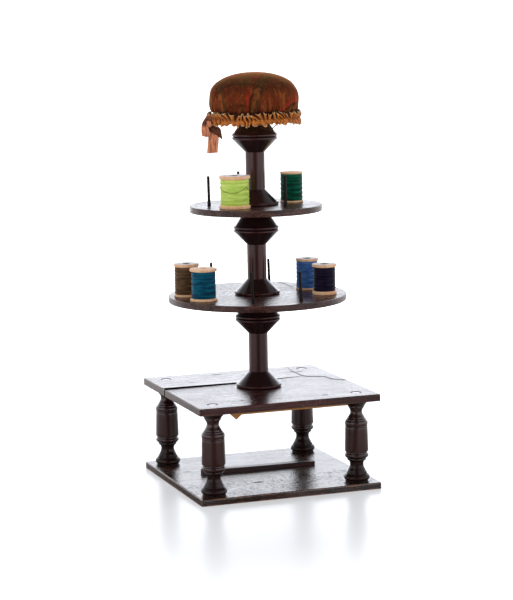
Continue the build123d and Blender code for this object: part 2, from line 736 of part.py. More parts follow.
def bend_radii(points):
    """The fillet at each inner point: 0.45 of the shorter run over the half turn's tangent."""
    radii = []
    for before, here, after in zip(points, points[1:], points[2:]):
        run_in = Vector(*here) - Vector(*before)
        run_out = Vector(*after) - Vector(*here)
        half_turn = radians(run_in.get_angle(run_out)) / 2
        shorter = min(run_in.length, run_out.length)
        radii.append(0.45 * shorter * cos(half_turn) / sin(half_turn))
    return radii


thread_radii = bend_radii(THREAD_ROUTE)
print("thread bend radii, mm:", [round(radius, 1) for radius in thread_radii])
print("thread route, mm:", [tuple(round(value, 2) for value in point) for point in THREAD_ROUTE])

with BuildPart() as loose_thread:
    with BuildLine() as thread_line:
        FilletPolyline(*THREAD_ROUTE, radius=thread_radii)
    with BuildSketch(Plane(origin=thread_line.line @ 0, z_dir=thread_line.line % 0)):
        Circle(THREAD_RADIUS)
    sweep(path=thread_line.line)

thread_length = thread_line.wires()[0].length
thread_share = loose_thread.part.volume / (pi * THREAD_RADIUS**2 * thread_length)
print("thread length, mm:", round(thread_length, 1), "volume share:", round(thread_share, 4))
loose_thread.part.label = "loose_thread"
export_step(loose_thread.part, "parts/loose_thread.step")
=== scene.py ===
"""Looks of the sewing stand: varnished turned wood, cotton reels and a plaid pincushion."""

import logging
import math
from dataclasses import dataclass
from enum import Enum
from functools import reduce
from typing import Any, Callable, Optional, Sequence, Union

import bpy
import numpy as np
from mathutils import Matrix, Vector


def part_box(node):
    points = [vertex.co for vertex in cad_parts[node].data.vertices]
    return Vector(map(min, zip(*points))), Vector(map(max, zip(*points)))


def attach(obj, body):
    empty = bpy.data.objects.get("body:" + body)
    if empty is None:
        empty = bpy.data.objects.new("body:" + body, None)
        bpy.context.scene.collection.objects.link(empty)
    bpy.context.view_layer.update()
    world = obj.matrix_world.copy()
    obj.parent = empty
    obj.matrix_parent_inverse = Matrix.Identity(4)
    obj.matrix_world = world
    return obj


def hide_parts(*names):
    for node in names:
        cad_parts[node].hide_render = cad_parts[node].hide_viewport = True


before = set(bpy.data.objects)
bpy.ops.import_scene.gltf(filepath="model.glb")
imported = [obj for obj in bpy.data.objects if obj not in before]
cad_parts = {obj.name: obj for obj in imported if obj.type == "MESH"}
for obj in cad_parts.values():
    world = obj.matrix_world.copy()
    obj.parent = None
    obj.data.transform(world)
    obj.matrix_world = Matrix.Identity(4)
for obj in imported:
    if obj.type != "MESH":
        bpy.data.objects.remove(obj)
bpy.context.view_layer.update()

log = logging.getLogger("sewing_stand")
Colour = tuple[float, float, float, float]
Pair = tuple[float, float]
Triple = tuple[float, float, float]
Knots = tuple[Pair, ...]
SocketName = Union[int, str]
MM = 0.001
# Level direction from the stand's left to its right as it is seen from its front.
SIDEWAYS = (0.942, -0.337)
# Heading of that direction, and of the one towards the viewer.
SIDE_HEADING = math.atan2(SIDEWAYS[1], SIDEWAYS[0])
VIEW_HEADING = math.atan2(-SIDEWAYS[0], SIDEWAYS[1])


def stain(red: int, green: int, blue: int) -> Colour:
    """Turn a colour as an eye sees it, 0 to 255 a channel, into the linear light of a shader.

    Args:
        red: Red, 0 to 255.
        green: Green, 0 to 255.
        blue: Blue, 0 to 255.

    Returns:
        Linear red, green, blue and an alpha of 1.
    """
    seen = np.array([red, green, blue], float) / 255.0
    light = np.where(seen <= 0.04045, seen / 12.92, ((seen + 0.055) / 1.055) ** 2.4)
    return (float(light[0]), float(light[1]), float(light[2]), 1.0)


class Grain(Enum):
    """The axis that the fibres of a piece of wood run along."""

    ACROSS_FRONT = 0
    UPRIGHT = 2

    def scale(self, along: float, across: float) -> list[float]:
        """A pattern's scale on each axis, from the ones along and across the fibres."""
        return [along if axis == self.value else across for axis in range(3)]


# ---- shader sums ----


def sum_of(operation: str, other_first: bool = False) -> Callable[..., "Wire"]:
    """Make a method of Wire that adds one Math node.

    Args:
        operation: The node's operation.
        other_first: Whether the other value stands before the wire's own.

    Returns:
        The method.
    """

    def method(wire: "Wire", other: Any = 0.0) -> "Wire":
        """Work the operation out on the wire's value and another."""
        values = {0: other, 1: wire} if other_first else {0: wire, 1: other}
        return wire.recipe.node("ShaderNodeMath", {"operation": operation}, values)

    return method


class Wire:
    """One output of a shader node, which can stand in a Python sum.

    least and most are the smaller and the larger of two values, size drops a value's sign, wave is
    its sine, and part is what it holds above the whole number below it.
    """

    __add__, __radd__ = sum_of("ADD"), sum_of("ADD", True)
    __sub__, __rsub__ = sum_of("SUBTRACT"), sum_of("SUBTRACT", True)
    __mul__, __rmul__ = sum_of("MULTIPLY"), sum_of("MULTIPLY", True)
    __truediv__, __pow__ = sum_of("DIVIDE"), sum_of("POWER")
    least, most = sum_of("MINIMUM"), sum_of("MAXIMUM")
    size, wave, part = sum_of("ABSOLUTE"), sum_of("SINE"), sum_of("FRACT")

    def __init__(self, recipe: "Recipe", socket: bpy.types.NodeSocket) -> None:
        """Keep the recipe that the wire belongs to and the socket it leaves from."""
        self.recipe = recipe
        self.socket = socket

    def rise(self, start: float, end: float) -> "Wire":
        """A smooth step from 0 at start to 1 at end, falling where end is below start.

        Args:
            start: Value at which the step is 0.
            end: Value at which the step is 1.

        Returns:
            The step, kept between 0 and 1.
        """
        low, high = min(start, end), max(start, end)
        to_low, to_high = (0.0, 1.0) if end >= start else (1.0, 0.0)
        return self.recipe.node(
            "ShaderNodeMapRange",
            {"interpolation_type": "SMOOTHSTEP", "clamp": True},
            {0: self, 1: low, 2: high, 3: to_low, 4: to_high},
        )


class Recipe:
    """A shader under making: its node tree, its surface and the shop's usual steps."""

    def __init__(self, name: str = "", world: Optional[bpy.types.World] = None) -> None:
        """Start a material with a plain surface shader, or the shader of a world.

        Args:
            name: Name of the material.
            world: The world to work on, where it isn't a material.
        """
        owner = world or bpy.data.materials.new(name)
        owner.use_nodes = True
        self.tree = owner.node_tree
        self.tree.nodes.clear()
        self._place: Optional[Wire] = None
        self.output = self.tree.nodes.new(f"ShaderNodeOutput{'World' if world else 'Material'}")
        if world is None:
            self.material = owner
            self.surface = self.tree.nodes.new("ShaderNodeBsdfPrincipled")
            self.show(self.shader())

    def shader(self) -> Wire:
        """The plain surface shader as a wire."""
        return Wire(self, self.surface.outputs[0])

    def show(self, shader: Wire) -> None:
        """Make a shader the one that is seen."""
        self.tree.links.new(shader.socket, self.output.inputs[0])

    def fill(self, made: bpy.types.Node, inputs: dict[SocketName, Any]) -> None:
        """Give each named socket of a node its value, or lead a wire to it.

        Args:
            made: The node.
            inputs: A value or a wire for each socket, by number or name.
        """
        for key, value in inputs.items():
            if isinstance(value, Wire):
                self.tree.links.new(value.socket, made.inputs[key])
            else:
                made.inputs[key].default_value = value

    def node(
        self,
        kind: str,
        settings: Optional[dict[str, Any]] = None,
        inputs: Optional[dict[SocketName, Any]] = None,
        output: SocketName = 0,
    ) -> Wire:
        """Add a node, with its settings made before its sockets are filled.

        Args:
            kind: The node's type.
            settings: Properties of the node; "stops" is a colour ramp's list of place and colour.
            inputs: A value or a wire for each socket, by number or name.
            output: The socket to return, by number or name.

        Returns:
            The chosen output as a wire.
        """
        made = self.tree.nodes.new(kind)
        for key, value in (settings or {}).items():
            if key == "stops":
                ramp = made.color_ramp
                while len(ramp.elements) > 1:
                    ramp.elements.remove(ramp.elements[-1])
                ramp.elements[0].position, ramp.elements[0].color = value[0]
                for position, colour in value[1:]:
                    ramp.elements.new(position).color = colour
            else:
                setattr(made, key, value)
        self.fill(made, inputs or {})
        return Wire(self, made.outputs[output])

    def place(self) -> Wire:
        """The point on the piece in the stand's own frame, in metres."""
        if self._place is None:
            self._place = self.node("ShaderNodeTexCoord", output="Object")
        return self._place

    def flat_place(self) -> Wire:
        """The point's place on the flat cut, which is kept with a cloth's mesh."""
        return self.node("ShaderNodeAttribute", {"attribute_name": "flat_place"}, output="Vector")

    def shifted(
        self,
        centre: Sequence[float] = (0, 0, 0),
        scale: Sequence[float] = (1, 1, 1),
        turn: Sequence[float] = (0, 0, 0),
        source: Optional[Wire] = None,
    ) -> Wire:
        """The point measured from a centre, then turned and stretched.

        Args:
            centre: Point that becomes the origin, in metres.
            scale: Stretch along each axis.
            turn: Turn about each axis, in radians.
            source: The point to shift, or the place on the piece.

        Returns:
            The shifted point.
        """
        moved = self.node(
            "ShaderNodeVectorMath",
            {"operation": "SUBTRACT"},
            {0: source or self.place(), 1: tuple(centre)},
        )
        return self.node(
            "ShaderNodeMapping",
            {"vector_type": "POINT"},
            {"Vector": moved, "Rotation": tuple(turn), "Scale": tuple(scale)},
        )

    def split(self, vector: Wire) -> tuple[Wire, Wire, Wire]:
        """Part a vector into its three values.

        Args:
            vector: The vector.

        Returns:
            Its three parts.
        """
        made = self.tree.nodes.new("ShaderNodeSeparateXYZ")
        self.tree.links.new(vector.socket, made.inputs[0])
        return Wire(self, made.outputs[0]), Wire(self, made.outputs[1]), Wire(self, made.outputs[2])

    def mottle(
        self, vector: Wire, scale: float, detail: float = 3.0, roughness: float = 0.55,
        distortion: float = 0.0,
    ) -> Wire:
        """Cloudy noise about 0.5.

        Args:
            vector: Point that the noise is read at.
            scale: Clouds per unit of the vector.
            detail: Layers of finer clouds.
            roughness: Strength of the finer layers.
            distortion: How far the clouds are pulled about.

        Returns:
            The noise as a value.
        """
        return self.node(
            "ShaderNodeTexNoise",
            {"noise_dimensions": "3D"},
            {"Vector": vector, "Scale": scale, "Detail": detail, "Roughness": roughness,
             "Distortion": distortion},
        )

    def blend(self, factor: Any, first: Any, second: Any, mode: str = "MIX") -> Wire:
        """Mix two colours by a factor.

        Args:
            factor: 0 for the first colour, 1 for the second.
            first: A colour or a wire.
            second: A colour or a wire.
            mode: The way of mixing.

        Returns:
            The mixed colour.
        """
        return self.node(
            "ShaderNodeMix",
            {"data_type": "RGBA", "blend_type": mode, "clamp_factor": True},
            {0: factor, 6: first, 7: second},
            output=2,
        )

    def layers(self, colour: Wire, *coats: tuple[Any, Any]) -> Wire:
        """Lay more colours over a colour, one after another.

        Args:
            colour: The colour that lies lowest.
            coats: Mask and colour of each layer, the lowest first.

        Returns:
            The colour that is seen.
        """
        for mask, coat in coats:
            colour = self.blend(mask, colour, coat)
        return colour

    def emboss(self, height: Wire, depth: float, normal: Optional[Wire] = None) -> Wire:
        """A bumped normal from a height of 0 to 1 that stands for a depth in metres.

        Args:
            height: Height, 0 to 1.
            depth: Depth that a height of 1 stands for, in metres.
            normal: A normal to add to.

        Returns:
            The normal.
        """
        inputs: dict[SocketName, Any] = {"Height": height, "Strength": 1.0, "Distance": depth}
        if normal is not None:
            inputs["Normal"] = normal
        return self.node("ShaderNodeBump", {}, inputs)

    def finish(self, **sockets: Any) -> bpy.types.Material:
        """Fill the surface shader's sockets and return the material.

        Args:
            sockets: Values or wires by socket name, with _ for a space.

        Returns:
            The finished material.
        """
        self.fill(self.surface, {key.replace("_", " "): value for key, value in sockets.items()})
        return self.material

    def cover(self, mask: Wire, colour: Colour, roughness: float) -> None:
        """Lay a matt patch over the finished surface where a mask says, for dark marks and painted
        shade.

        Args:
            mask: 0 for the surface, 1 for the patch.
            colour: Colour of the patch.
            roughness: Roughness of the patch, which mirrors next to nothing.
        """
        bare = self.node(
            "ShaderNodeBsdfPrincipled", {},
            {"Base Color": colour, "Roughness": roughness, "Specular IOR Level": 0.05},
        )
        self.show(self.node("ShaderNodeMixShader", {}, {0: mask, 1: self.shader(), 2: bare}))


# ---- finishes ----


@dataclass(frozen=True)
class Arris:
    """Where a piece of wood is rubbed: near its sharp edges, or on its widest turning."""

    centre: Triple = (0.0, 0.0, 0.0)
    half_side: float = 0.0
    rim_radius: float = 0.0
    low: float = 0.0
    high: float = 0.0
    reach: float = 0.0012

    def mask(self, recipe: Recipe, jitter: Wire) -> Wire:
        """How rubbed each point is, 0 to 1.

        A square board's arris distance is the least of the pairwise sums of the distances to its
        faces, because one of the three is nothing on a surface. A disc has two such distances.
        A turned piece is rubbed where it comes within the reach of its rim radius.

        Args:
            recipe: The material under making.
            jitter: Noise about 0.5 that breaks the rubbing up.

        Returns:
            The mask.
        """
        x, y, z = recipe.split(recipe.shifted(self.centre))
        if self.half_side:
            east, north = self.half_side - x.size(), self.half_side - y.size()
            level = (self.high - z).least(z - self.low)
            away = (east + north).least((north + level).least(east + level))
        else:
            radius = (x * x + y * y) ** 0.5
            away = self.rim_radius - radius
            if self.high:
                away = away + (self.high - z).least(z - self.low)
        reach = (jitter - 0.34).most(0.02) * (self.reach * 6.0)
        return (1.0 - away / reach).rise(0.0, 1.0)


class Mark:
    """A dark patch on varnished wood: a mark in the wood, or painted shade low on a leg."""

    def mask(self, recipe: Recipe, jitter: Wire) -> Wire:
        """How dark each point is, 0 to 1.

        Args:
            recipe: The material under making.
            jitter: Noise about 0.5 that breaks the mark up.

        Returns:
            The mask.
        """
        raise NotImplementedError


@dataclass(frozen=True)
class Blemish(Mark):
    """A knot, dent or open joint seen as a dark patch on a board."""

    centre: Pair
    length: float
    width: float
    turn: float = 0.0
    strength: float = 1.0

    def mask(self, recipe: Recipe, jitter: Wire) -> Wire:
        """Dark inside an ellipse whose rim the noise eats into.

        Args:
            recipe: The material under making.
            jitter: Noise about 0.5.

        Returns:
            The mask, 0 to 1.
        """
        place = recipe.shifted(
            (self.centre[0] * MM, self.centre[1] * MM, 0.0), (1, 1, 0), (0, 0, -self.turn)
        )
        x, y, _ = recipe.split(place)
        away = ((x / (self.length * MM)) ** 2 + (y / (self.width * MM)) ** 2) ** 0.5
        return (away + (jitter - 0.5) * 1.1).rise(1.15, 0.75) * self.strength


@dataclass(frozen=True)
class FootShade(Mark):
    """Painted shade on a leg's low turnings, near the lower board where less light reaches them."""

    level: float
    share: float = 0.72
    fade: float = 9 * MM

    def mask(self, recipe: Recipe, jitter: Wire) -> Wire:
        """Full a little below the level, none above it, and thinner where the noise is low.

        Args:
            recipe: The material under making.
            jitter: Noise about 0.5.

        Returns:
            The mask, 0 to 1.
        """
        _, _, height = recipe.split(recipe.place())
        low = height.rise(self.level, self.level - self.fade)
        return low * (jitter.rise(0.36, 0.6) * 0.35 + 0.65) * self.share


@dataclass(frozen=True)
class TenonEnd(Mark):
    """The round end of a leg's tenon in a board: a dark joint line round darker end grain."""

    centre: Pair
    radius: float = 4.7

    def mask(self, recipe: Recipe, jitter: Wire) -> Wire:
        """Dark on the joint line, fainter inside, and broken up by the noise.

        Args:
            recipe: The material under making.
            jitter: Noise about 0.5.

        Returns:
            The mask, 0 to 1.
        """
        x, y, _ = recipe.split(recipe.shifted((self.centre[0] * MM, self.centre[1] * MM, 0.0)))
        away = (x * x + y * y) ** 0.5 / MM
        line = (away - self.radius).size().rise(1.1, 0.35)
        inside = away.rise(self.radius, self.radius - 1.0) * (jitter.rise(0.4, 0.56) * 0.7 + 0.35)
        return line.most(inside)


@dataclass(frozen=True)
class Split(Mark):
    """The line of a split along the grain, by its corners and widths there, in millimetres."""

    corners: Knots
    widths: tuple[float, ...]

    def mask(self, recipe: Recipe, jitter: Wire) -> Wire:
        """Dark within half a width of the line, which runs straight between its corners.

        Args:
            recipe: The material under making.
            jitter: Noise about 0.5.

        Returns:
            The mask, 0 to 1.
        """
        x, y, _ = recipe.split(recipe.place())
        pieces = []
        steps = zip(self.corners[:-1], self.corners[1:], self.widths[:-1], self.widths[1:])
        for (x0, y0), (x1, y1), first, last in steps:
            share = (x - x0 * MM) / ((x1 - x0) * MM)
            line = share * ((y1 - y0) * MM) + y0 * MM
            half = share * ((last - first) * MM / 2) + (first * MM / 2)
            near = ((y - line).size() / half.most(0.05 * MM) + (jitter - 0.5) * 0.8).rise(1.3, 0.8)
            pieces.append(near * (share.rise(-0.002, 0.0) * share.rise(1.002, 1.0)))
        return reduce(Wire.most, pieces)


@dataclass(frozen=True)
class Grit(Mark):
    """Fine dark specks and scratches in an old varnish, over a whole board."""

    fineness: float = 620.0
    strength: float = 0.4
    back_share: float = 1.0

    def mask(self, recipe: Recipe, jitter: Wire) -> Wire:
        """How dark each point is, more where the slow noise is high.

        Args:
            recipe: The material under making.
            jitter: Noise about 0.5.

        Returns:
            The mask, 0 to 1.
        """
        point = recipe.shifted(scale=(1.0, 0.28, 1.0))
        speck = recipe.mottle(point, self.fineness, 2.0, 0.65)
        _, north, _ = recipe.split(recipe.place())
        front = north.rise(-5 * MM, -45 * MM) * (1 - self.back_share) + self.back_share
        return speck.rise(0.5, 0.64) * (jitter.rise(0.3, 0.6) * self.strength) * front


@dataclass(frozen=True)
class Varnish:
    """Dark stained hardwood under a clear varnish, with grain, pores, rubbing, dust, dents and
    painted shade where given.

    The pores are the depth of the surface's finest hollows in metres, the mirror is the varnish's
    index of refraction, and the other plain numbers are shares of 1.
    """

    name: str
    deep: Colour = stain(50, 20, 18)
    warm: Colour = stain(84, 36, 32)
    rubbed: Colour = stain(122, 66, 46)
    endgrain: Colour = stain(26, 14, 14)
    pore_dark: Colour = stain(16, 8, 8)
    dust_pale: Colour = stain(150, 138, 128)
    mark_and_shade_dark: Colour = stain(24, 15, 14)
    grain: Grain = Grain.UPRIGHT
    roughness: float = 0.24
    coat: float = 0.1
    wear: float = 0.6
    dust: float = 0.12
    pores: float = 0.00006
    streaks: float = 0.12
    end_stain: float = 0.0
    pore_mark: float = 0.45
    mirror: float = 1.5
    marks_and_shade: tuple[Mark, ...] = ()

    def brew(self, arris: Optional[Arris] = None, shift: float = 0.0) -> bpy.types.Material:
        """Make the material for one piece.

        Args:
            arris: Where the piece is rubbed.
            shift: Moves the pattern, so that pieces of one wood differ.

        Returns:
            The material.
        """
        recipe = Recipe(self.name)
        start = (shift, shift * 0.7, shift * 1.3)
        figure, pore, streak = (
            recipe.mottle(recipe.shifted(start, self.grain.scale(along, across)), 1.0, *layers)
            for along, across, layers in (
                (11.0, 150.0, (4.0, 0.6, 0.6)), (70.0, 1500.0, (2.0, 0.6)),
                (16.0, 330.0, (3.0, 0.65, 0.3)),
            )
        )
        cloud, fleck, jitter = (
            recipe.mottle(recipe.shifted(start), *layers)
            for layers in ((28.0, 4.0, 0.6), (420.0, 2.0, 0.5), (75.0, 5.0, 0.7))
        )
        colour = recipe.blend(figure.rise(0.38, 0.66), self.deep, self.warm)
        colour = recipe.blend(pore.rise(0.6, 0.42) * self.pore_mark, colour, self.pore_dark)
        if self.end_stain:
            _, _, up = recipe.split(recipe.node("ShaderNodeTexCoord", output="Normal"))
            colour = recipe.blend(up.size().rise(0.3, 0.6) * self.end_stain, colour, self.endgrain)
        rough = self.roughness + (cloud - 0.5) * 0.2 + (pore - 0.5) * 0.1
        rough = rough + (streak - 0.5) * self.streaks
        if arris is not None:
            worn = arris.mask(recipe, jitter) * self.wear
            colour = recipe.blend(worn, colour, self.rubbed)
            rough = rough + worn * 0.25
        speck = (fleck.rise(0.63, 0.72) * cloud.rise(0.4, 0.62)) * self.dust
        colour = recipe.blend(speck, colour, self.dust_pale)
        rough = rough + speck * 0.4
        relief = recipe.emboss(pore * 0.7 + figure * 0.3, self.pores)
        relief = recipe.emboss(streak, self.pores * 2.0, relief)
        relief = recipe.emboss(cloud, 0.00025, relief)
        material = recipe.finish(
            Base_Color=colour, Roughness=rough.most(0.12).least(0.7), IOR=self.mirror,
            Coat_Weight=self.coat, Coat_Roughness=0.12, Coat_IOR=1.5, Normal=relief,
        )
        # Dark marks in the wood, and painted shade where given, laid as one matt patch.
        if self.marks_and_shade:
            dark = reduce(Wire.most, [mark.mask(recipe, jitter) for mark in self.marks_and_shade])
            recipe.cover(dark, self.mark_and_shade_dark, 0.9)
        return material


@dataclass(frozen=True)
class BareWood:
    """Unvarnished light wood, with a plain paper disc on a reel's end and painted shade in and
    round its bore.
    """

    name: str
    pale: Colour = stain(255, 210, 168)
    ring: Colour = stain(246, 180, 134)
    grain: Grain = Grain.UPRIGHT
    roughness: float = 0.5
    soiled: Colour = stain(160, 106, 68)
    soiling: float = 0.24
    paper: Optional[Colour] = None
    paper_stain: Colour = stain(176, 160, 150)
    bore_shade: Colour = stain(44, 30, 24)
    paper_radius: float = 0.0
    paper_level: float = 0.0
    hole_radius: float = 4.3 * MM
    blur: float = 0.3 * MM

    def brew(self, shift: float = 0.0, centre: Sequence[float] = (0, 0, 0)) -> bpy.types.Material:
        """Make the material, its fibres along the grain.

        Args:
            shift: Moves the pattern, so that pieces of one wood differ.
            centre: Middle of the piece, in metres.

        Returns:
            The material.
        """
        recipe = Recipe(self.name)
        start = (centre[0] + shift, centre[1] + shift * 0.6, centre[2] - shift)
        fibre, band = (
            recipe.mottle(recipe.shifted(start, self.grain.scale(along, across)), 1.0, *layers)
            for along, across, layers in (
                (60.0, 900.0, (4.0, 0.65, 0.4)), (9.0, 190.0, (2.0, 0.5, 0.8)),
            )
        )
        grime = recipe.mottle(recipe.shifted(start), 130.0, 5.0, 0.7)
        colour = recipe.layers(
            recipe.blend(band.rise(0.36, 0.68) * 0.8, self.pale, self.ring),
            (fibre.rise(0.52, 0.75) * 0.5, self.ring),
            (grime.rise(0.52, 0.74) * self.soiling, self.soiled),
        )
        if self.paper:
            x, y, z = recipe.split(recipe.shifted((centre[0], centre[1], 0.0)))
            radial = (x * x + y * y) ** 0.5
            away = radial + (grime - 0.5) * (0.8 * MM)
            disc = away.rise(self.paper_radius, self.paper_radius - self.blur)
            disc = disc * (z - self.paper_level).rise(-0.5 * MM, -0.3 * MM)
            aged = recipe.blend(grime.rise(0.5, 0.72) * 0.6, self.paper, self.paper_stain)
            # Painted shade in and round the bore.
            inside = radial.rise(self.hole_radius + self.blur, self.hole_radius - self.blur)
            colour = recipe.layers(colour, (disc, aged), (inside, self.bore_shade))
        return recipe.finish(
            Base_Color=colour, Roughness=self.roughness + (fibre - 0.5) * 0.2,
            Normal=recipe.emboss(fibre, 0.00007),
        )


@dataclass(frozen=True)
class CottonFinish:
    """Mercerised sewing cotton, one colour a reel."""

    name: str
    light: Colour
    dark: Colour
    uneven: float = 0.5
    stray: Optional[Colour] = None
    slack_shade: Colour = stain(84, 96, 38)

    def brew(self, centre: Sequence[float]) -> bpy.types.Material:
        """Make the material round a reel's axis.

        Args:
            centre: Middle of the reel, in metres.

        Returns:
            The material, with painted shade in thin lines between the turns and on slack turns, and
            a little uneven by height.
        """
        recipe = Recipe(self.name)
        layer, turn, fibre = (
            recipe.mottle(recipe.shifted(centre, (round_it, round_it, up)), 1.0, detail, 0.6)
            for round_it, up, detail in (
                (60.0, 420.0, 3.0), (70.0, 3000.0, 2.0), (2600.0, 5200.0, 2.0),
            )
        )
        mixed = layer.rise(0.36, 0.62) * self.uneven + (1 - self.uneven) * 0.75
        slack, _, _ = recipe.split(recipe.flat_place())
        colour = recipe.layers(
            recipe.blend(mixed, self.dark, self.light),
            # Painted shade in thin lines between the turns.
            (turn.rise(0.56, 0.36) * 0.7, self.dark),
            # Painted shade on the slack turns.
            (slack * 0.65, self.slack_shade),
        )
        if self.stray:
            wide = recipe.shifted(centre, (120.0, 120.0, 900.0))
            tangle = recipe.mottle(wide, 1.0, 3.0, 0.7, 1.2)
            colour = recipe.blend(tangle.rise(0.6, 0.7) * 0.75, colour, self.stray)
        relief = recipe.emboss(fibre, 0.00004, recipe.emboss(turn, 0.0002))
        return recipe.finish(
            Base_Color=colour, Roughness=0.38 + (fibre - 0.5) * 0.25, Specular_IOR_Level=0.1,
            Normal=relief,
        )


@dataclass(frozen=True)
class PlaidFinish:
    """Woollen cloth woven in a plaid of rust, olive and near-black with a few gold threads."""

    name: str = "plaid_cloth"
    repeat: float = 48.0
    warp_start: float = 17.2 * MM
    weft_start: float = 41.5 * MM
    rust: Colour = stain(126, 48, 25)
    umber: Colour = stain(108, 54, 26)
    red: Colour = stain(156, 42, 28)
    olive: Colour = stain(92, 58, 30)
    night: Colour = stain(52, 29, 18)
    gold: Colour = stain(136, 70, 34)
    nap: Colour = stain(196, 128, 84)
    moss: Colour = stain(98, 70, 40)
    # Colour of the painted highlights on the gathers.
    copper: Colour = stain(170, 96, 50)
    clear: Colour = (1.0, 1.0, 1.0, 1.0)
    dark_filter: Colour = (0.22, 0.26, 0.28, 1.0)
    olive_filter: Colour = (0.56, 0.84, 0.8, 1.0)
    umber_filter: Colour = (0.72, 0.86, 0.86, 1.0)

    def warp(self, bright: Colour) -> list[tuple[float, Colour]]:
        """Upright stripes over one repeat, in millimetres from a gold stripe's left edge."""
        return [
            (0.0, self.umber), (0.8, bright), (3.4, bright), (4.6, self.olive),
            (5.4, self.night), (6.2, self.olive), (9.0, self.umber), (11.0, self.rust),
            (15.6, self.rust), (16.2, self.umber), (17.0, self.rust), (21.5, self.umber),
            (22.2, self.rust), (27.4, self.rust), (28.0, self.umber), (29.0, self.rust),
            (33.6, self.umber), (34.4, self.rust), (38.8, self.rust), (40.4, self.red),
            (43.6, self.red), (44.6, self.night), (46.2, self.night), (47.0, self.umber),
        ]

    def weft(self) -> list[tuple[float, Colour]]:
        """Level stripes, as filters over the upright ones, from the dark line below the crown."""
        return [
            (0.0, self.dark_filter), (0.8, self.dark_filter), (1.8, self.clear), (8.6, self.clear),
            (9.1, self.umber_filter), (9.8, self.clear), (17.0, self.clear),
            (17.5, self.umber_filter), (18.0, self.clear), (22.0, self.umber_filter),
            (23.0, self.dark_filter), (25.0, self.olive_filter), (27.0, self.umber_filter),
            (29.0, self.umber_filter), (33.0, self.olive_filter), (35.2, self.umber_filter),
            (35.8, self.dark_filter), (36.6, self.olive_filter), (41.0, self.olive_filter),
            (43.0, self.umber_filter), (45.0, self.olive_filter), (47.2, self.dark_filter),
        ]

    def yarns(self, recipe: Recipe, along: Wire, stripes: list[tuple[float, Colour]]) -> Wire:
        """The colours of one set of yarns as they cross the cloth.

        Args:
            recipe: The material under making.
            along: Place across the set of yarns, in metres.
            stripes: Place in millimetres and colour of each stop over one repeat.

        Returns:
            The yarns' colour.
        """
        place = (along / (self.repeat * MM)).part()
        stops = [(place_mm / self.repeat, colour) for place_mm, colour in stripes]
        return recipe.node("ShaderNodeValToRGB", {"stops": stops}, {0: place})

    def brew(self) -> bpy.types.Material:
        """Make the material, which follows the cloth's own flat place.

        Returns:
            The material: stripes rubbed and with painted top light on the crown, painted shade on
                the
            shoulder, in the creases and in the gathers, and painted highlights on the gathers.
        """
        recipe = Recipe(self.name)
        flat = recipe.flat_place()
        east, north, crease = recipe.split(flat)
        level = recipe.shifted(source=flat, scale=(1.0, 1.0, 0.0))
        sway = (recipe.mottle(level, 38.0, 2.0, 0.5) - 0.5) * 0.008
        bright = self.yarns(recipe, east + sway - self.warp_start, self.warp(self.gold))
        rubbed = self.yarns(recipe, east + sway * 1.3 - self.warp_start, self.warp(self.moss))
        far = (east * east + north * north) ** 0.5 + sway
        crown = far.rise(47 * MM, 40 * MM)
        side = 1.0 - crown
        # Painted shade in a band round the shoulder, between crown and side.
        shoulder_shade = far.rise(27 * MM, 35 * MM) * far.rise(58 * MM, 46 * MM)
        weft = self.yarns(recipe, sway * -1.2 - north - self.weft_start, self.weft())
        worn = (east + sway).rise(17 * MM, 27 * MM) * 0.5
        twill = ((east + north) * 3600.0).wave()
        crimp = (east * 2300.0).wave() * (north * 2300.0).wave()
        fuzz = recipe.mottle(recipe.shifted(), 2600.0, 2.0, 0.7)
        slub = recipe.mottle(recipe.shifted(source=level, scale=(900.0, 120.0, 0.0)), 1.0, 3.0, 0.7)
        fade = recipe.mottle(recipe.shifted(), 40.0, 3.0, 0.6)
        nap = recipe.mottle(recipe.shifted(scale=(1.0, 1.0, 0.6)), 430.0, 4.0, 0.75)
        gather = recipe.mottle(recipe.shifted(scale=(1.0, 1.0, 0.08)), 300.0, 3.0, 0.6)
        crossed = (twill.rise(-0.5, 0.5) * 0.2 + 0.7) * (1.0 - worn)
        colour = recipe.layers(
            recipe.blend(crossed, recipe.blend(crown, bright, rubbed), weft, "MULTIPLY"),
            (fuzz.rise(0.4, 0.8) * 0.14, self.gold),
            (slub.rise(0.48, 0.66) * 0.4, self.umber),
            (fade.rise(0.42, 0.66) * 0.4, self.olive),
            # Painted top light on the crown, as a blend towards moss.
            (crown * (fade.rise(0.36, 0.6) * 0.45 + 0.15), self.moss),
            # Painted highlights and painted shade in upright streaks on the sides, for the light
            # and shade of the gathers.
            (side * gather.rise(0.54, 0.7) * 0.55, self.copper),
            (side * gather.rise(0.46, 0.32) * 0.5, self.night),
            # Painted shade on the shoulder.
            (shoulder_shade * (fade.rise(0.7, 0.4) * 0.3 + 0.3), self.night),
            (nap.rise(0.52, 0.76) * 0.28, self.nap),
            (nap.rise(0.5, 0.3) * 0.5, self.night),
            # Painted shade deep in the gathered folds at the foot.
            (crease.rise(0.2, 0.95) * 0.7, self.night),
        )
        return recipe.finish(
            Base_Color=colour, Roughness=0.82, Specular_IOR_Level=0.03, Sheen_Weight=0.9,
            Sheen_Roughness=0.3, Sheen_Tint=stain(236, 160, 100),
            Normal=recipe.emboss(crimp * 0.25 + fuzz * 0.6, 0.00016),
        )


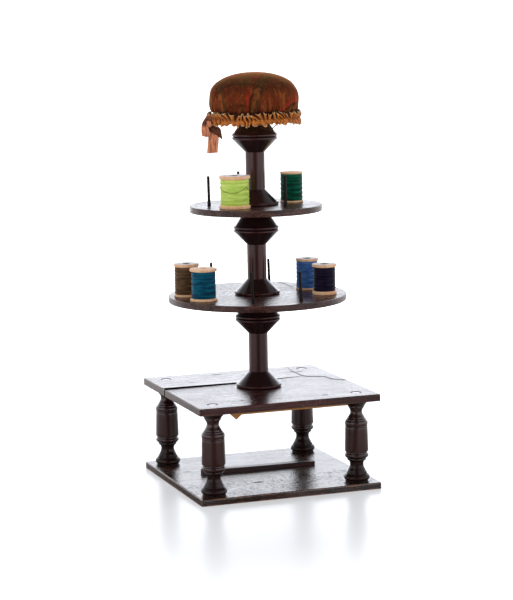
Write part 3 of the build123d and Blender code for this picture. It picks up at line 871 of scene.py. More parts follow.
@dataclass(frozen=True)
class RibbonFinish:
    """Crinkled silk ribbon: a satin sheen over fine creases, with painted shade in the crinkles,
    painted highlights as pale edges, and a darker back colour painted as shade.
    """

    name: str
    bright: Colour
    shade: Colour
    back: Colour
    edge: Colour
    half_width: float
    creased: float = 0.00035
    crease_scale: Pair = (900.0, 260.0)
    contrast: float = 0.6
    rim: float = 1.1 * MM

    def brew(self) -> bpy.types.Material:
        """Make the material, which follows the ribbon's own flat place.

        Returns:
            The material.
        """
        recipe = Recipe(self.name)
        flat = recipe.flat_place()
        # The third value of the flat place is the share of painted shade.
        _, across, depth = recipe.split(flat)
        level = recipe.shifted(source=flat, scale=(1.0, 1.0, 0.0))
        crease = recipe.mottle(
            recipe.shifted(source=level, scale=(*self.crease_scale, 0.0)), 1.0, 4.0, 0.6, 0.8
        )
        rib = recipe.mottle(recipe.shifted(source=level, scale=(3600.0, 500.0, 0.0)), 1.0, 1.0)
        blot = recipe.mottle(level, 160.0, 4.0, 0.6)
        rim = (across.size() + (crease - 0.5) * 0.0006).rise(
            self.half_width - self.rim, self.half_width - self.rim * 0.3
        )
        # Painted shade over the crinkles and blots, painted highlights along both edges, and the
        # back colour as painted shade where that share is high.
        colour = recipe.layers(
            recipe.blend(crease.rise(0.58, 0.4) * self.contrast, self.bright, self.shade),
            (blot.rise(0.5, 0.72) * 0.4, self.shade),
            (rim, self.edge),
            (depth.rise(0.05, 0.95), self.back),
        )
        relief = recipe.emboss(rib, 0.00006, recipe.emboss(crease, self.creased))
        return recipe.finish(
            Base_Color=colour, Roughness=0.36 + (blot - 0.5) * 0.25, Specular_IOR_Level=0.3,
            Normal=relief,
        )


# ---- mesh helpers ----


def angles(count: int) -> np.ndarray:
    """Even angles round one full turn."""
    return np.linspace(0, 2 * np.pi, count, endpoint=False)


def grid_faces(rows: int, columns: int, closed_rows: bool, closed_columns: bool) -> np.ndarray:
    """Corner numbers of the squares of a grid whose points are numbered row by row.

    Args:
        rows: Rows of points.
        columns: Points in a row.
        closed_rows: Whether the last row joins the first.
        closed_columns: Whether the last point of a row joins its first.

    Returns:
        One line of four corners a square.
    """
    last_row, last_column = rows - (not closed_rows), columns - (not closed_columns)
    r, c = np.meshgrid(np.arange(last_row), np.arange(last_column), indexing="ij")
    below, beside = (r + 1) % rows, (c + 1) % columns
    corners = [r * columns + c, r * columns + beside, below * columns + beside, below * columns + c]
    return np.stack(corners, -1).reshape(-1, 4)


def tube_faces(rings: int, around: int) -> list[list[int]]:
    """Faces of a tube whose points are numbered ring by ring, with a flat cap at each end.

    Args:
        rings: Rings of points.
        around: Points in a ring.

    Returns:
        Corner numbers of each face.
    """
    last = (rings - 1) * around
    caps = [list(range(around))[::-1], list(range(last, last + around))]
    return grid_faces(rings, around, False, True).tolist() + caps


def place_thing(name: str, data: bpy.types.ID) -> bpy.types.Object:
    """Put a mesh, curve, lamp or camera into the scene as an object at the origin.

    Args:
        name: Name of the object.
        data: What it shows.

    Returns:
        The object.
    """
    thing = bpy.data.objects.new(name, data)
    bpy.context.collection.objects.link(thing)
    return thing


def make_piece(
    name: str,
    points: np.ndarray,
    faces: Union[np.ndarray, list],
    material: bpy.types.Material,
    flat: Optional[np.ndarray] = None,
) -> bpy.types.Object:
    """Put worked-out points and faces into a smooth-shaded object at the origin.

    Args:
        name: Name of the piece.
        points: Points in metres, one a line.
        faces: Corner numbers of each face.
        material: Its finish.
        flat: For cloth, each point's place on the flat cut, in metres.

    Returns:
        The object, linked into the scene.
    """
    mesh = bpy.data.meshes.new(name)
    mesh.from_pydata(points.reshape(-1, 3), [], faces)
    mesh.update()
    if flat is not None:
        lay_flat(mesh, flat)
    mesh.shade_smooth()
    mesh.materials.append(material)
    return place_thing(name, mesh)


def lay_flat(mesh: bpy.types.Mesh, flat: np.ndarray) -> None:
    """Keep each point's place on the flat cut with the mesh, for its weave to follow."""
    layer = mesh.attributes.new("flat_place", "FLOAT_VECTOR", "POINT")
    layer.data.foreach_set("vector", flat.astype(np.float32).ravel())


def smooth_line(knots: Sequence[Sequence[float]], count: int) -> np.ndarray:
    """A smooth line through a few knots, sampled evenly by knot number.

    Between two knots it is the cubic whose slope at each is half the step between the knots on
    both sides (a Catmull-Rom curve), with the end slopes taken from the end steps.

    Args:
        knots: Knots, each any number of values.
        count: Samples wanted.

    Returns:
        The samples, one a line.
    """
    k = np.asarray(knots, float)
    slope = np.gradient(k, axis=0)
    t = np.linspace(0, len(k) - 1, count)
    i = np.minimum(t.astype(int), len(k) - 2)
    f = (t - i)[:, None]
    first = (2 * f**3 - 3 * f**2 + 1) * k[i] + (f**3 - 2 * f**2 + f) * slope[i]
    return first + (-2 * f**3 + 3 * f**2) * k[i + 1] + (f**3 - f**2) * slope[i + 1]


def about(
    radius: np.ndarray, angle: np.ndarray, level: np.ndarray, centre: Sequence[float] = (0.0, 0.0)
) -> np.ndarray:
    """Points about an upright axis.

    Args:
        radius: Distance from the axis.
        angle: Heading from the axis.
        level: Height.
        centre: Place of the axis.

    Returns:
        The points, for every radius, angle and level together.
    """
    east, north = centre[0] + radius * np.cos(angle), centre[1] + radius * np.sin(angle)
    return np.stack(np.broadcast_arrays(east, north, level), -1)


def spin(outline: np.ndarray, centre: Sequence[float], around: int) -> np.ndarray:
    """Turn an outline about an upright axis.

    Each point is the outline's radius times the cosine and sine of the angle, and its height.

    Args:
        outline: Radius and height of each point, in metres.
        centre: Place of the axis.
        around: Points round the axis.

    Returns:
        The points, one row a point of the outline.
    """
    return about(outline[:, :1], angles(around), outline[:, 1:], centre)


def from_front(local: np.ndarray) -> np.ndarray:
    """Bring points given as seen from the front into the stand's own frame.

    Args:
        local: Sideways, outwards and upward place of each point, in metres.

    Returns:
        The points in the frame.
    """
    outwards = (SIDEWAYS[1], -SIDEWAYS[0], 0.0)
    return local @ np.array([(*SIDEWAYS, 0.0), outwards, (0.0, 0.0, 1.0)])


def dress(nodes: Sequence[str], material: bpy.types.Material) -> None:
    """Give carried-over pieces a finish.

    Args:
        nodes: Names of the pieces.
        material: The finish.
    """
    for name in nodes:
        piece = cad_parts[name]
        if not piece.material_slots:
            piece.data.materials.append(material)
        for place in piece.material_slots:
            place.material = material


# ---- woodwork ----


@dataclass
class Joinery:
    """The boards, turned legs, column, tiers, pegs and battens, which keep their own shapes."""

    side: float = 189 * MM
    leg_place: float = 75.5 * MM
    legs: tuple[tuple[str, int, int], ...] = (
        ("leg_front_left", -1, -1), ("leg_front_right", 1, -1),
        ("leg_back_left", -1, 1), ("leg_back_right", 1, 1),
    )
    split: Split = Split(((-94.5, 20.0), (-16.0, 21.8), (60.0, 32.5)), (2.6, 1.6, 0.6))
    split_gap: tuple[float, ...] = (2.2, 0.8, 0.05)
    split_crown: tuple[float, ...] = (1.5, 1.0, 0.12)
    cup_reach: float = 15 * MM
    lower_marks: tuple[tuple[Any, ...], ...] = (
        ((-18.0, -44.0), 7.0, 2.4, 0.05, 0.8), ((34.0, -62.0), 5.0, 1.6, 0.0, 0.6),
        ((-52.0, -20.0), 4.0, 1.5, 0.1, 0.6), ((62.0, -34.0), 3.4, 1.4, 0.0, 0.7),
        ((8.0, -82.0), 9.0, 1.2, 0.02, 0.5), ((-70.0, 30.0), 5.0, 2.0, 0.0, 0.5),
    )
    upper_marks: tuple[tuple[Any, ...], ...] = (
        ((42.0, -75.0), 3.6, 1.5), ((-42.0, -68.0), 2.6, 1.4, 0.2, 0.8), ((-52.0, -72.0), 1.4, 1.0),
        ((-20.0, 78.0), 6.0, 2.0, 0.0, 0.7), ((8.0, 62.0), 1.6, 5.0, 0.9, 0.6),
        ((66.0, 58.0), 4.0, 1.6, 0.0, 0.6), ((-58.0, 46.0), 4.6, 1.5, 0.1, 0.35),
        ((-26.0, -20.0), 3.0, 1.2, 0.0, 0.3),
    )

    def dress_boards(self) -> None:
        """Varnish both square boards, the lower one browner and more rubbed at its edges."""
        lower = Varnish(
            "worn_board", deep=stain(44, 26, 20), warm=stain(80, 48, 34),
            rubbed=stain(136, 84, 52), grain=Grain.ACROSS_FRONT, wear=0.85, roughness=0.23,
            streaks=0.3, dust=0.12, pores=0.00014, coat=0.0, mirror=2.05,
            marks_and_shade=(Grit(520.0, 0.45, 0.25), *(Blemish(*mark) for mark in self.lower_marks)),
        )
        place = self.leg_place / MM
        upper = Varnish(
            "top_board", rubbed=stain(102, 70, 54), grain=Grain.ACROSS_FRONT, wear=0.7,
            roughness=0.2, streaks=0.26, pores=0.00012, dust=0.16,
            marks_and_shade=(
                *(TenonEnd((east * place, north * place)) for _, east, north in self.legs),
                *(Blemish(*mark) for mark in self.upper_marks), self.split, Grit(560.0, 0.12),
            ),
        )
        boards = (("bottom_board", lower, 0.0016, 0.3), ("top_board", upper, 0.0012, 0.9))
        for name, finish, reach, shift in boards:
            low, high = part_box(name)
            edge = Arris(half_side=self.side / 2, low=low.z, high=high.z, reach=reach)
            dress([name], finish.brew(edge, shift))

    def lift_split_edge(self) -> bpy.types.Object:
        """Raise the back half's edge along the split, where the board has cupped.

        A shallow ridge is carried along the split's back lip. Across the grain its height is the
        crown's share of a squared fall, from the crown at the split to nothing at its back foot,
        and its front is a short upright wall that goes down into the split.

        Returns:
            The ridge, in the board's own varnish.
        """
        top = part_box("top_board")[1].z
        corners = np.array(self.split.corners) * MM
        sections, points_across, wall, hem_drop = 160, 13, 2 * MM, 0.6 * MM
        x = np.linspace(corners[0, 0] + 0.4 * MM, corners[-1, 0], sections)
        line, gap, crown = (
            np.interp(x, corners[:, 0], values)
            for values in (corners[:, 1], *(np.array([self.split_gap, self.split_crown]) * MM))
        )
        lip = line + gap / 2
        back = np.linspace(0.0, 1.0, points_across) ** 1.4
        height = top - 0.02 * MM + crown[:, None] * (1 - back) ** 1.6
        across = lip[:, None] + back * self.cup_reach
        slope = np.stack(np.broadcast_arrays(x[:, None], across, height), -1)
        foot = np.stack([x, lip, np.full_like(x, top - wall)], -1)[:, None]
        hem = np.stack([x, lip + self.cup_reach, np.full_like(x, top - hem_drop)], -1)[:, None]
        points = np.concatenate([foot, slope, hem], 1)
        rows, columns = points.shape[:2]
        last = (rows - 1) * columns
        faces = grid_faces(rows, columns, False, True).tolist()
        faces += [list(range(columns)), list(range(last, last + columns))[::-1]]
        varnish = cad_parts["top_board"].data.materials[0]
        piece = make_piece("cupped_edge", points, faces, varnish)
        piece.data.shade_flat()
        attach(piece, "stand")
        return piece

    def dress_turnings(self) -> None:
        """Varnish the four legs and the three lengths of the column."""
        # The legs get painted shade on their low turnings, below 35 mm.
        turned = Varnish(
            "turned_leg", deep=stain(56, 29, 26), warm=stain(68, 35, 31), wear=0.25,
            roughness=0.18, end_stain=0.7, dust=0.0, coat=0.6, pores=0.00001,
            marks_and_shade=(FootShade(35 * MM),), streaks=0.04, pore_mark=0.12, mirror=1.56,
        )
        for number, (name, east, north) in enumerate(self.legs):
            centre = (east * self.leg_place, north * self.leg_place, 0.0)
            rim = Arris(centre=centre, rim_radius=12.9 * MM, reach=0.0004)
            finish = turned.brew(rim, 0.37 * number)
            dress([name], finish)
            TurnedLeg(name).build(centre, finish)
        turned = Varnish(
            "turned_column", deep=stain(62, 28, 28), warm=stain(86, 40, 40), roughness=0.2,
            wear=0.0, end_stain=0.95, dust=0.0, endgrain=stain(38, 22, 22),
            pores=0.00003, streaks=0.05, pore_mark=0.2,
        )
        rim = Arris(rim_radius=23.1 * MM, reach=0.0003)
        for number, name in enumerate(("column_lower", "column_middle", "column_upper")):
            dress([name], turned.brew(rim, 0.51 * number + 0.2))

    def dress_tiers(self) -> None:
        """Varnish the round tiers and stain the pegs."""
        for shift, name in ((0.15, "lower_tier"), (0.65, "upper_tier")):
            low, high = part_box(name)
            disc = Varnish(
                name, deep=stain(58, 28, 25), warm=stain(96, 58, 50), rubbed=stain(126, 90, 74),
                grain=Grain.ACROSS_FRONT, wear=0.5, roughness=0.27, pores=0.00014, streaks=0.22,
                coat=0.05, marks_and_shade=(Grit(560.0, 0.4),),
            )
            edge = Arris(rim_radius=high.x, low=low.z, high=high.z, reach=0.001)
            dress([name], disc.brew(edge, shift))
        pegs = [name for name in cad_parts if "_peg_" in name]
        stained = Varnish(
            "peg", deep=stain(24, 18, 18), warm=stain(42, 32, 31), coat=0.0, roughness=0.6,
            mirror=1.3,
        )
        dress(pegs, stained.brew())

    def dress_battens(self) -> None:
        """Stain the loose batten, and leave the front one and the cushion's board as bare pine."""
        dark = Varnish("loose_batten", grain=Grain.ACROSS_FRONT, coat=0.05, roughness=0.4)
        dress(["loose_batten"], dark.brew(shift=1.7))
        pine = BareWood(
            "amber_pine", pale=stain(206, 138, 62), ring=stain(150, 88, 38),
            soiled=stain(92, 56, 28), grain=Grain.ACROSS_FRONT,
        )
        dress(["front_batten", "cushion_board"], pine.brew())


@dataclass
class TurnedLeg:
    """A leg turned between the two boards, with a tenon into each.

    The outline is a list of turnings from the foot up, each a few knots of radius and height above
    the lower board in millimetres. A turning is smooth; where two meet there is a sharp line.
    """

    name: str
    height: float = 82.5
    tenon: float = 4.6
    upper_tenon: float = 6.7
    lower_tenon: float = 4.4
    around: int = 96
    arris_angle: float = math.radians(32)
    turnings: tuple[Knots, ...] = (
        ((11.2, 0.05), (11.4, 0.4), (11.4, 0.9), (11.1, 1.2)),
        ((11.2, 1.3), (12.2, 1.8), (12.8, 3.1), (12.8, 4.2), (12.1, 5.7), (10.7, 6.9)),
        ((10.1, 7.0), (10.15, 8.0), (9.7, 9.2)),
        ((9.1, 9.3), (8.8, 10.6), (8.1, 12.0), (7.2, 14.0), (6.75, 16.0), (6.75, 17.6),
         (7.0, 19.0), (7.6, 20.3), (8.4, 21.1)),
        ((9.0, 21.2), (9.35, 22.2), (9.1, 23.2)),
        ((9.8, 23.4), (11.0, 24.4), (11.7, 25.5), (11.8, 26.6), (11.5, 27.6), (10.8, 28.5)),
        ((10.7, 28.6), (10.6, 29.4), (10.8, 30.2)),
        ((11.5, 30.3), (11.75, 31.0), (11.65, 36.0), (11.4, 44.8), (11.2, 54.2), (11.0, 54.8)),
        ((10.7, 54.9), (10.7, 55.5)),
        ((11.1, 55.6), (11.35, 56.1), (11.1, 56.7)),
        ((10.8, 56.8), (10.8, 57.3)),
        ((11.2, 57.4), (11.45, 58.4), (11.4, 59.6), (11.1, 60.8), (10.4, 61.8)),
        ((9.9, 61.9), (9.75, 62.8), (9.2, 63.6)),
        ((8.8, 63.8), (8.2, 65.2), (7.2, 66.8), (6.4, 68.4), (6.0, 70.2), (6.1, 71.6),
         (6.6, 73.0), (7.3, 74.4)),
        ((7.8, 74.5), (8.05, 75.2), (7.9, 76.0)),
        ((8.4, 76.1), (9.1, 77.6), (10.3, 79.0), (11.2, 80.2), (11.4, 81.3), (11.0, 82.45)),
    )

    def build(self, centre: Sequence[float], finish: bpy.types.Material) -> bpy.types.Object:
        """Turn the leg in place of the plainer one.

        Args:
            centre: Place of the leg's axis, in metres.
            finish: Its varnish.

        Returns:
            The leg.
        """
        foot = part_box("bottom_board")[1].z
        lines = [smooth_line(turning, 3 * len(turning) + 1) for turning in self.turnings]
        lower = [(0.05, -self.lower_tenon), (self.tenon, -self.lower_tenon), (self.tenon, 0.05)]
        top = self.height + self.upper_tenon
        upper = [(self.tenon, self.height - 0.05), (self.tenon, top), (0.05, top)]
        outline = np.concatenate([np.array(lower), *lines, np.array(upper)]) * MM
        outline[:, 1] += foot
        points = spin(outline, centre, self.around)
        faces = tube_faces(len(outline), self.around)
        piece = make_piece(f"turned_{self.name}", points, faces, finish)
        piece.data.set_sharp_from_angle(angle=self.arris_angle)
        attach(piece, "stand")
        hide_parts(self.name)
        return piece


# ---- cotton reels ----


@dataclass
class CottonReel:
    """A turned reel, the sewing cotton wound on it, and perhaps a turn that has come slack."""

    colour: str
    light: Colour
    dark: Colour
    number: int
    rims: Pair = (2.6, 2.8)
    fill: float = 0.0
    uneven: float = 0.5
    stray: Optional[Colour] = None
    paper: Optional[Colour] = None
    slack: tuple[Knots, ...] = ()
    pitch: float = 0.36 * MM
    ridge: float = 0.075 * MM
    core: float = 6.1 * MM
    bore: float = 3.2 * MM
    around: int = 72
    rows_a_turn: int = 6
    swells: int = 5
    arris_angle: float = math.radians(50)

    def body(self) -> str:
        """Name of the body that the reel turns with."""
        return f"cotton_reel_{self.colour}"

    def turning(self) -> bpy.types.Object:
        """Build the turned reel: two thick rims, a cone inside each, the core and the bore.

        The outline is the list of radii and heights up the outside and back down the bore, with
        each rim's arrises rounded by three short steps, carried round the axis.

        Returns:
            The reel, in place of the plainer one.
        """
        low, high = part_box(f"reel_{self.colour}")
        centre = (low + high) / 2
        flange = (high.x - low.x) / 2
        tall = high.z - low.z
        bottom, top = self.rims[0] * MM, self.rims[1] * MM
        cone = (flange - self.core) * 0.3
        r, t = flange, 0.35 * MM
        side = [
            (self.bore, 0.25 * MM), (r * 0.6, 0.05 * MM), (r - t, 0.0), (r - 0.3 * t, 0.3 * t),
            (r, t), (r - 0.1 * MM, bottom * 0.5), (r, bottom - t), (r - 0.3 * t, bottom - 0.3 * t),
            (r - t, bottom), (self.core, bottom + cone), (self.core, tall - top - cone),
            (r - t, tall - top), (r - 0.3 * t, tall - top + 0.3 * t), (r, tall - top + t),
            (r - 0.1 * MM, tall - top * 0.5), (r, tall - t), (r - 0.3 * t, tall - 0.3 * t),
            (r - t, tall), (r * 0.6, tall - 0.1 * MM), (self.bore + 0.3 * MM, tall - 0.2 * MM),
            (self.bore, tall - 0.6 * MM),
        ]
        outline = np.array(side) + [0.0, low.z]
        points = spin(outline, centre, self.around)
        faces = grid_faces(len(side), self.around, True, True)
        beech = BareWood(
            f"beech_{self.colour}", paper=self.paper, paper_radius=r - 1.6 * MM, paper_level=high.z
        )
        finish = beech.brew(0.21 * self.number, centre)
        piece = make_piece(f"turned_reel_{self.colour}", points, faces, finish)
        piece.data.set_sharp_from_angle(angle=self.arris_angle)
        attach(piece, self.body())
        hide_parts(f"reel_{self.colour}")
        return piece

    def winding(self) -> bpy.types.Object:
        """Build the winding as one closed surface.

        Its outline runs up the lower bevel, up the outside and down the upper bevel to the core.
        On the outside the radius is the winding's own, less a round ridge and groove that climb
        one pitch a turn, plus slow waves where the layers are uneven, and it rounds off towards
        both rims. All is worked out on a grid of angle and height.

        Returns:
            The winding, in place of the plain ring.
        """
        low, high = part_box(f"thread_{self.colour}")
        reel_low, reel_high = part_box(f"reel_{self.colour}")
        centre = (low + high) / 2
        radius = (high.x - low.x) / 2 - 0.1 * MM - self.fill * MM
        foot = reel_low.z + (self.rims[0] + 0.15) * MM
        height = reel_high.z - (self.rims[1] + 0.15) * MM - foot
        chance = np.random.default_rng(40 + self.number)
        rows = int(height / self.pitch) * self.rows_a_turn
        z = np.linspace(0, height, rows)[:, None]
        angle = angles(self.around)[None, :]
        climb = np.where(np.sin(z / height * 19 + self.number) > 0, 1.0, -1.0)
        turns = (z / self.pitch + climb * angle / (2 * np.pi)) % 1.0
        ridges = np.sqrt(np.clip(1 - (2 * turns - 1) ** 2, 0, 1)) * self.ridge
        waves = sum(
            amount * np.sin(z * 2 * np.pi / length + phase + lean * np.cos(angle + phase))
            for amount, length, phase, lean in zip(
                chance.uniform(0.03, 0.11, self.swells) * MM,
                chance.uniform(1.6, 6.0, self.swells) * MM,
                chance.uniform(0, 6.3, self.swells), chance.uniform(0.2, 1.6, self.swells),
            )
        )
        near_end = np.minimum(z, height - z)
        outside = radius - 0.12 * MM + ridges + waves * np.clip(near_end / MM, 0, 1)
        outside = np.minimum(outside, radius + 0.2 * MM)
        outside = outside - 0.7 * MM * np.clip(1 - near_end / (1.2 * MM), 0, 1) ** 2
        inner_low = np.full((1, self.around), self.core)
        bevel = (radius - self.core) * 0.3
        r = np.concatenate([inner_low, outside, inner_low])
        heights = np.concatenate([np.array([[bevel]]), z, np.array([[height - bevel]])])
        points = about(r, angle, foot + heights, centre).reshape(-1, 3)
        faces = grid_faces(len(r), self.around, True, True)
        for turn in self.slack:
            more, more_faces = self.slack_turn(turn, centre, radius, reel_low.z)
            faces = np.concatenate([faces, more_faces + len(points)])
            points = np.concatenate([points, more])
        finish = CottonFinish(
            f"cotton_{self.colour}", self.light, self.dark, self.uneven, self.stray
        ).brew(centre)
        # The slack turns are marked for their painted shade.
        loose = np.zeros((len(points), 3))
        loose[len(r) * self.around:, 0] = 1.0
        piece = make_piece(f"winding_{self.colour}", points, faces, finish, loose)
        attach(piece, self.body())
        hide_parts(f"thread_{self.colour}")
        return piece

    def slack_turn(
        self, knots: Sequence[Pair], centre: Vector, radius: float, foot: float
    ) -> tuple[np.ndarray, np.ndarray]:
        """Build a turn of cotton that has come loose, as a thin tube just off the winding.

        Each knot is a heading round the reel in degrees and a height above its foot. The tube is a
        circle of a few points carried along the smooth line, standing off it outwards and upwards.

        Args:
            knots: Heading and height in millimetres of each knot.
            centre: The reel's middle.
            radius: Radius of the winding.
            foot: Level of the reel's foot.

        Returns:
            Points and faces of the tube.
        """
        samples, sides, thick = 80, 5, 0.3 * MM
        line = smooth_line(knots, samples)
        angle = np.radians(line[:, :1])
        level = foot + line[:, 1:] * MM
        lift = np.sin(np.linspace(0, np.pi, samples))[:, None]
        ring = angles(sides)[None, :]
        away = radius + 0.1 * MM + 0.5 * MM * lift + thick * np.cos(ring)
        points = about(away, angle, level + thick * np.sin(ring), centre).reshape(-1, 3)
        return points, grid_faces(samples, sides, False, True)


# ---- pincushion ----


@dataclass
class Pincushion:
    """The stuffed plaid dome: a simulated cloth cover, gathered in at its foot."""

    gathers: int = 30
    gather_depth: float = 1.25 * MM
    cloth_turn: float = math.radians(18)
    voxel: float = 4.0 * MM
    pressure: float = 4.0
    frames: int = 20
    cap: float = 2.5 * MM
    inset: float = 0.985
    around: int = 96
    waist: float = 12 * MM
    outline: Knots = (
        (0.0, 41.4), (8.0, 41.2), (16.0, 40.2), (24.9, 38.1), (31.8, 35.2), (37.3, 32.1),
        (40.3, 29.3), (42.8, 26.2), (44.3, 23.2), (45.3, 20.2), (45.8, 17.0), (45.9, 12.5),
        (45.7, 8.4), (45.0, 3.4), (44.0, 0.6), (42.5, 0.0), (30.0, 0.0), (0.0, 0.0),
    )

    def foot(self) -> float:
        """Level of the cushion's underside."""
        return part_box("pincushion")[0].z

    def shell(self) -> tuple[np.ndarray, list[list[int]]]:
        """Turn the outline, a little inset, about the column's axis into a closed skin.

        Each point is the outline's radius times the cosine and sine of the angle, and its height.

        Returns:
            Points and faces.
        """
        line = smooth_line(self.outline, 90)[1:-1] * MM
        r = np.maximum(line[:, :1], 0.2 * MM) * self.inset
        level = self.foot() + 0.2 * MM + line[:, 1:] * self.inset
        points = about(r, angles(self.around), level).reshape(-1, 3)
        return points, [face[::-1] for face in tube_faces(len(line), self.around)]

    def flat_place(self, points: np.ndarray) -> np.ndarray:
        """Where each point of the cover was on the flat cloth.

        The cloth lies centred on the crown, so a point's distance from the cloth's middle is its
        distance down the outline from the crown, and its direction is its heading.

        Args:
            points: Points of the cover.

        Returns:
            Place on the cloth, in metres.
        """
        line = smooth_line(self.outline, 200) * MM
        line = line[: int(len(line) * 0.88)]
        run = np.concatenate([[0.0], np.cumsum(np.hypot(*np.diff(line, axis=0).T))])
        slope = np.arctan2(line[:, 0], line[:, 1] - self.waist)
        radial = np.hypot(points[:, 0], points[:, 1])
        here = np.arctan2(radial, points[:, 2] - self.foot() - self.waist)
        far = np.interp(here, slope, run)
        heading = np.arctan2(points[:, 1], points[:, 0]) - SIDE_HEADING + self.cloth_turn
        return about(far, heading, 0 * far)

    def stuff(self, piece: bpy.types.Object) -> None:
        """Swell the cover with cloth simulation and keep the result.

        Args:
            piece: The cover, remeshed in even squares.
        """
        remesh = piece.modifiers.new("even", "REMESH")
        remesh.mode, remesh.voxel_size, remesh.use_smooth_shade = "VOXEL", self.voxel, True
        self.apply(piece)
        start = self.points(piece)
        cloth = piece.modifiers.new("cover", "CLOTH")
        cloth.settings.use_pressure = True
        cloth.settings.uniform_pressure_force = self.pressure
        cloth.settings.effector_weights.gravity = 0.0
        cloth.settings.quality = 6
        cloth.point_cache.frame_start, cloth.point_cache.frame_end = 1, self.frames
        for step in range(1, self.frames + 1):
            bpy.context.scene.frame_set(step)
        self.apply(piece)
        moved = self.points(piece) - start
        length = np.linalg.norm(moved, axis=1, keepdims=True)
        start = start + moved * np.minimum(1.0, self.cap / np.maximum(length, 1e-9))
        log.info("pincushion swelled by %.1f mm at most", float(length.max()) / MM)
        bpy.context.scene.frame_set(1)
        self.move(piece, start)

    def points(self, piece: bpy.types.Object) -> np.ndarray:
        """Read the points of a mesh.

        Args:
            piece: The piece with the mesh.

        Returns:
            The points, one a line.
        """
        got = np.zeros(len(piece.data.vertices) * 3, np.float32)
        piece.data.vertices.foreach_get("co", got)
        return got.reshape(-1, 3).astype(float)

    def move(self, piece: bpy.types.Object, points: np.ndarray) -> None:
        """Move the points of a mesh."""
        piece.data.vertices.foreach_set("co", points.astype(np.float32).ravel())

    def apply(self, piece: bpy.types.Object) -> None:
        """Make a piece's modifiers part of its mesh.

        Args:
            piece: The piece.
        """
        graph = bpy.context.evaluated_depsgraph_get()
        mesh = bpy.data.meshes.new_from_object(piece.evaluated_get(graph), depsgraph=graph)
        piece.modifiers.clear()
        piece.data = mesh

    def gather(self, points: np.ndarray) -> tuple[np.ndarray, np.ndarray]:
        """Draw the cover in at its foot in uneven upright folds.

        A fold is a narrow valley of a cosine of the heading raised to a power, whose depth grows
        from nothing at mid height to the full depth at the foot, and slow dents spread over the
        sides.

        Args:
            points: Points of the cover.

        Returns:
            The moved points, and how deep in a fold each one is, 0 to 1.
        """
        heading = np.arctan2(points[:, 1], points[:, 0])
        radial = np.hypot(points[:, 0], points[:, 1])
        level = points[:, 2] - self.foot()
        side = np.clip((radial / MM - 30) / 12, 0, 1)
        bend = heading + 0.16 * np.sin(3 * heading + 0.6) + 0.05 * np.sin(8 * heading)
        lean = 0.004 * level / MM * np.sin(4 * heading + 1.0)
        first = (0.5 + 0.5 * np.cos(self.gathers * (bend + lean))) ** 3
        second = (0.5 + 0.5 * np.cos((self.gathers - 11) * (bend - lean) + 1.1)) ** 4
        reach = 13 + 9 * np.sin(5 * heading + 0.5) * np.sin(2 * heading + 2.0)
        near_foot = np.clip(1 - level / (reach * 1.9 * MM), 0, 1) ** 1.2 * side
        valley = np.maximum(first, second) * near_foot
        dents = (
            np.sin(5 * heading + level / MM * 0.12) * np.sin(level / MM * 0.2 + 2 * heading)
        ) * 0.45 * MM
        shift = (0.3 * near_foot - valley) * self.gather_depth + dents * side - 0.1 * MM
        grow = np.where(side > 0, 1 + shift / np.maximum(radial, 1 * MM), 1.0)
        return points * np.stack([grow, grow, np.ones_like(grow)], -1), valley

    def build(self) -> bpy.types.Object:
        """Make the stuffed cover in place of the plain dome.

        Returns:
            The cover.
        """
        finish = PlaidFinish().brew()
        piece = make_piece("pincushion_cover", *self.shell(), finish)
        self.stuff(piece)
        finer = piece.modifiers.new("finer", "SUBSURF")
        finer.levels = finer.render_levels = 2
        self.apply(piece)
        got, valley = self.gather(self.points(piece))
        got[:, 2] = np.maximum(got[:, 2], self.foot() + 0.05 * MM)
        self.move(piece, got)
        flat = self.flat_place(got)
        # The depth in a fold is kept for the cloth's painted shade.
        flat[:, 2] = valley
        lay_flat(piece.data, flat)
        piece.data.shade_smooth()
        if not piece.data.materials:
            piece.data.materials.append(finish)
        piece.data.update()
        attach(piece, "stand")
        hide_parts("pincushion")
        return piece


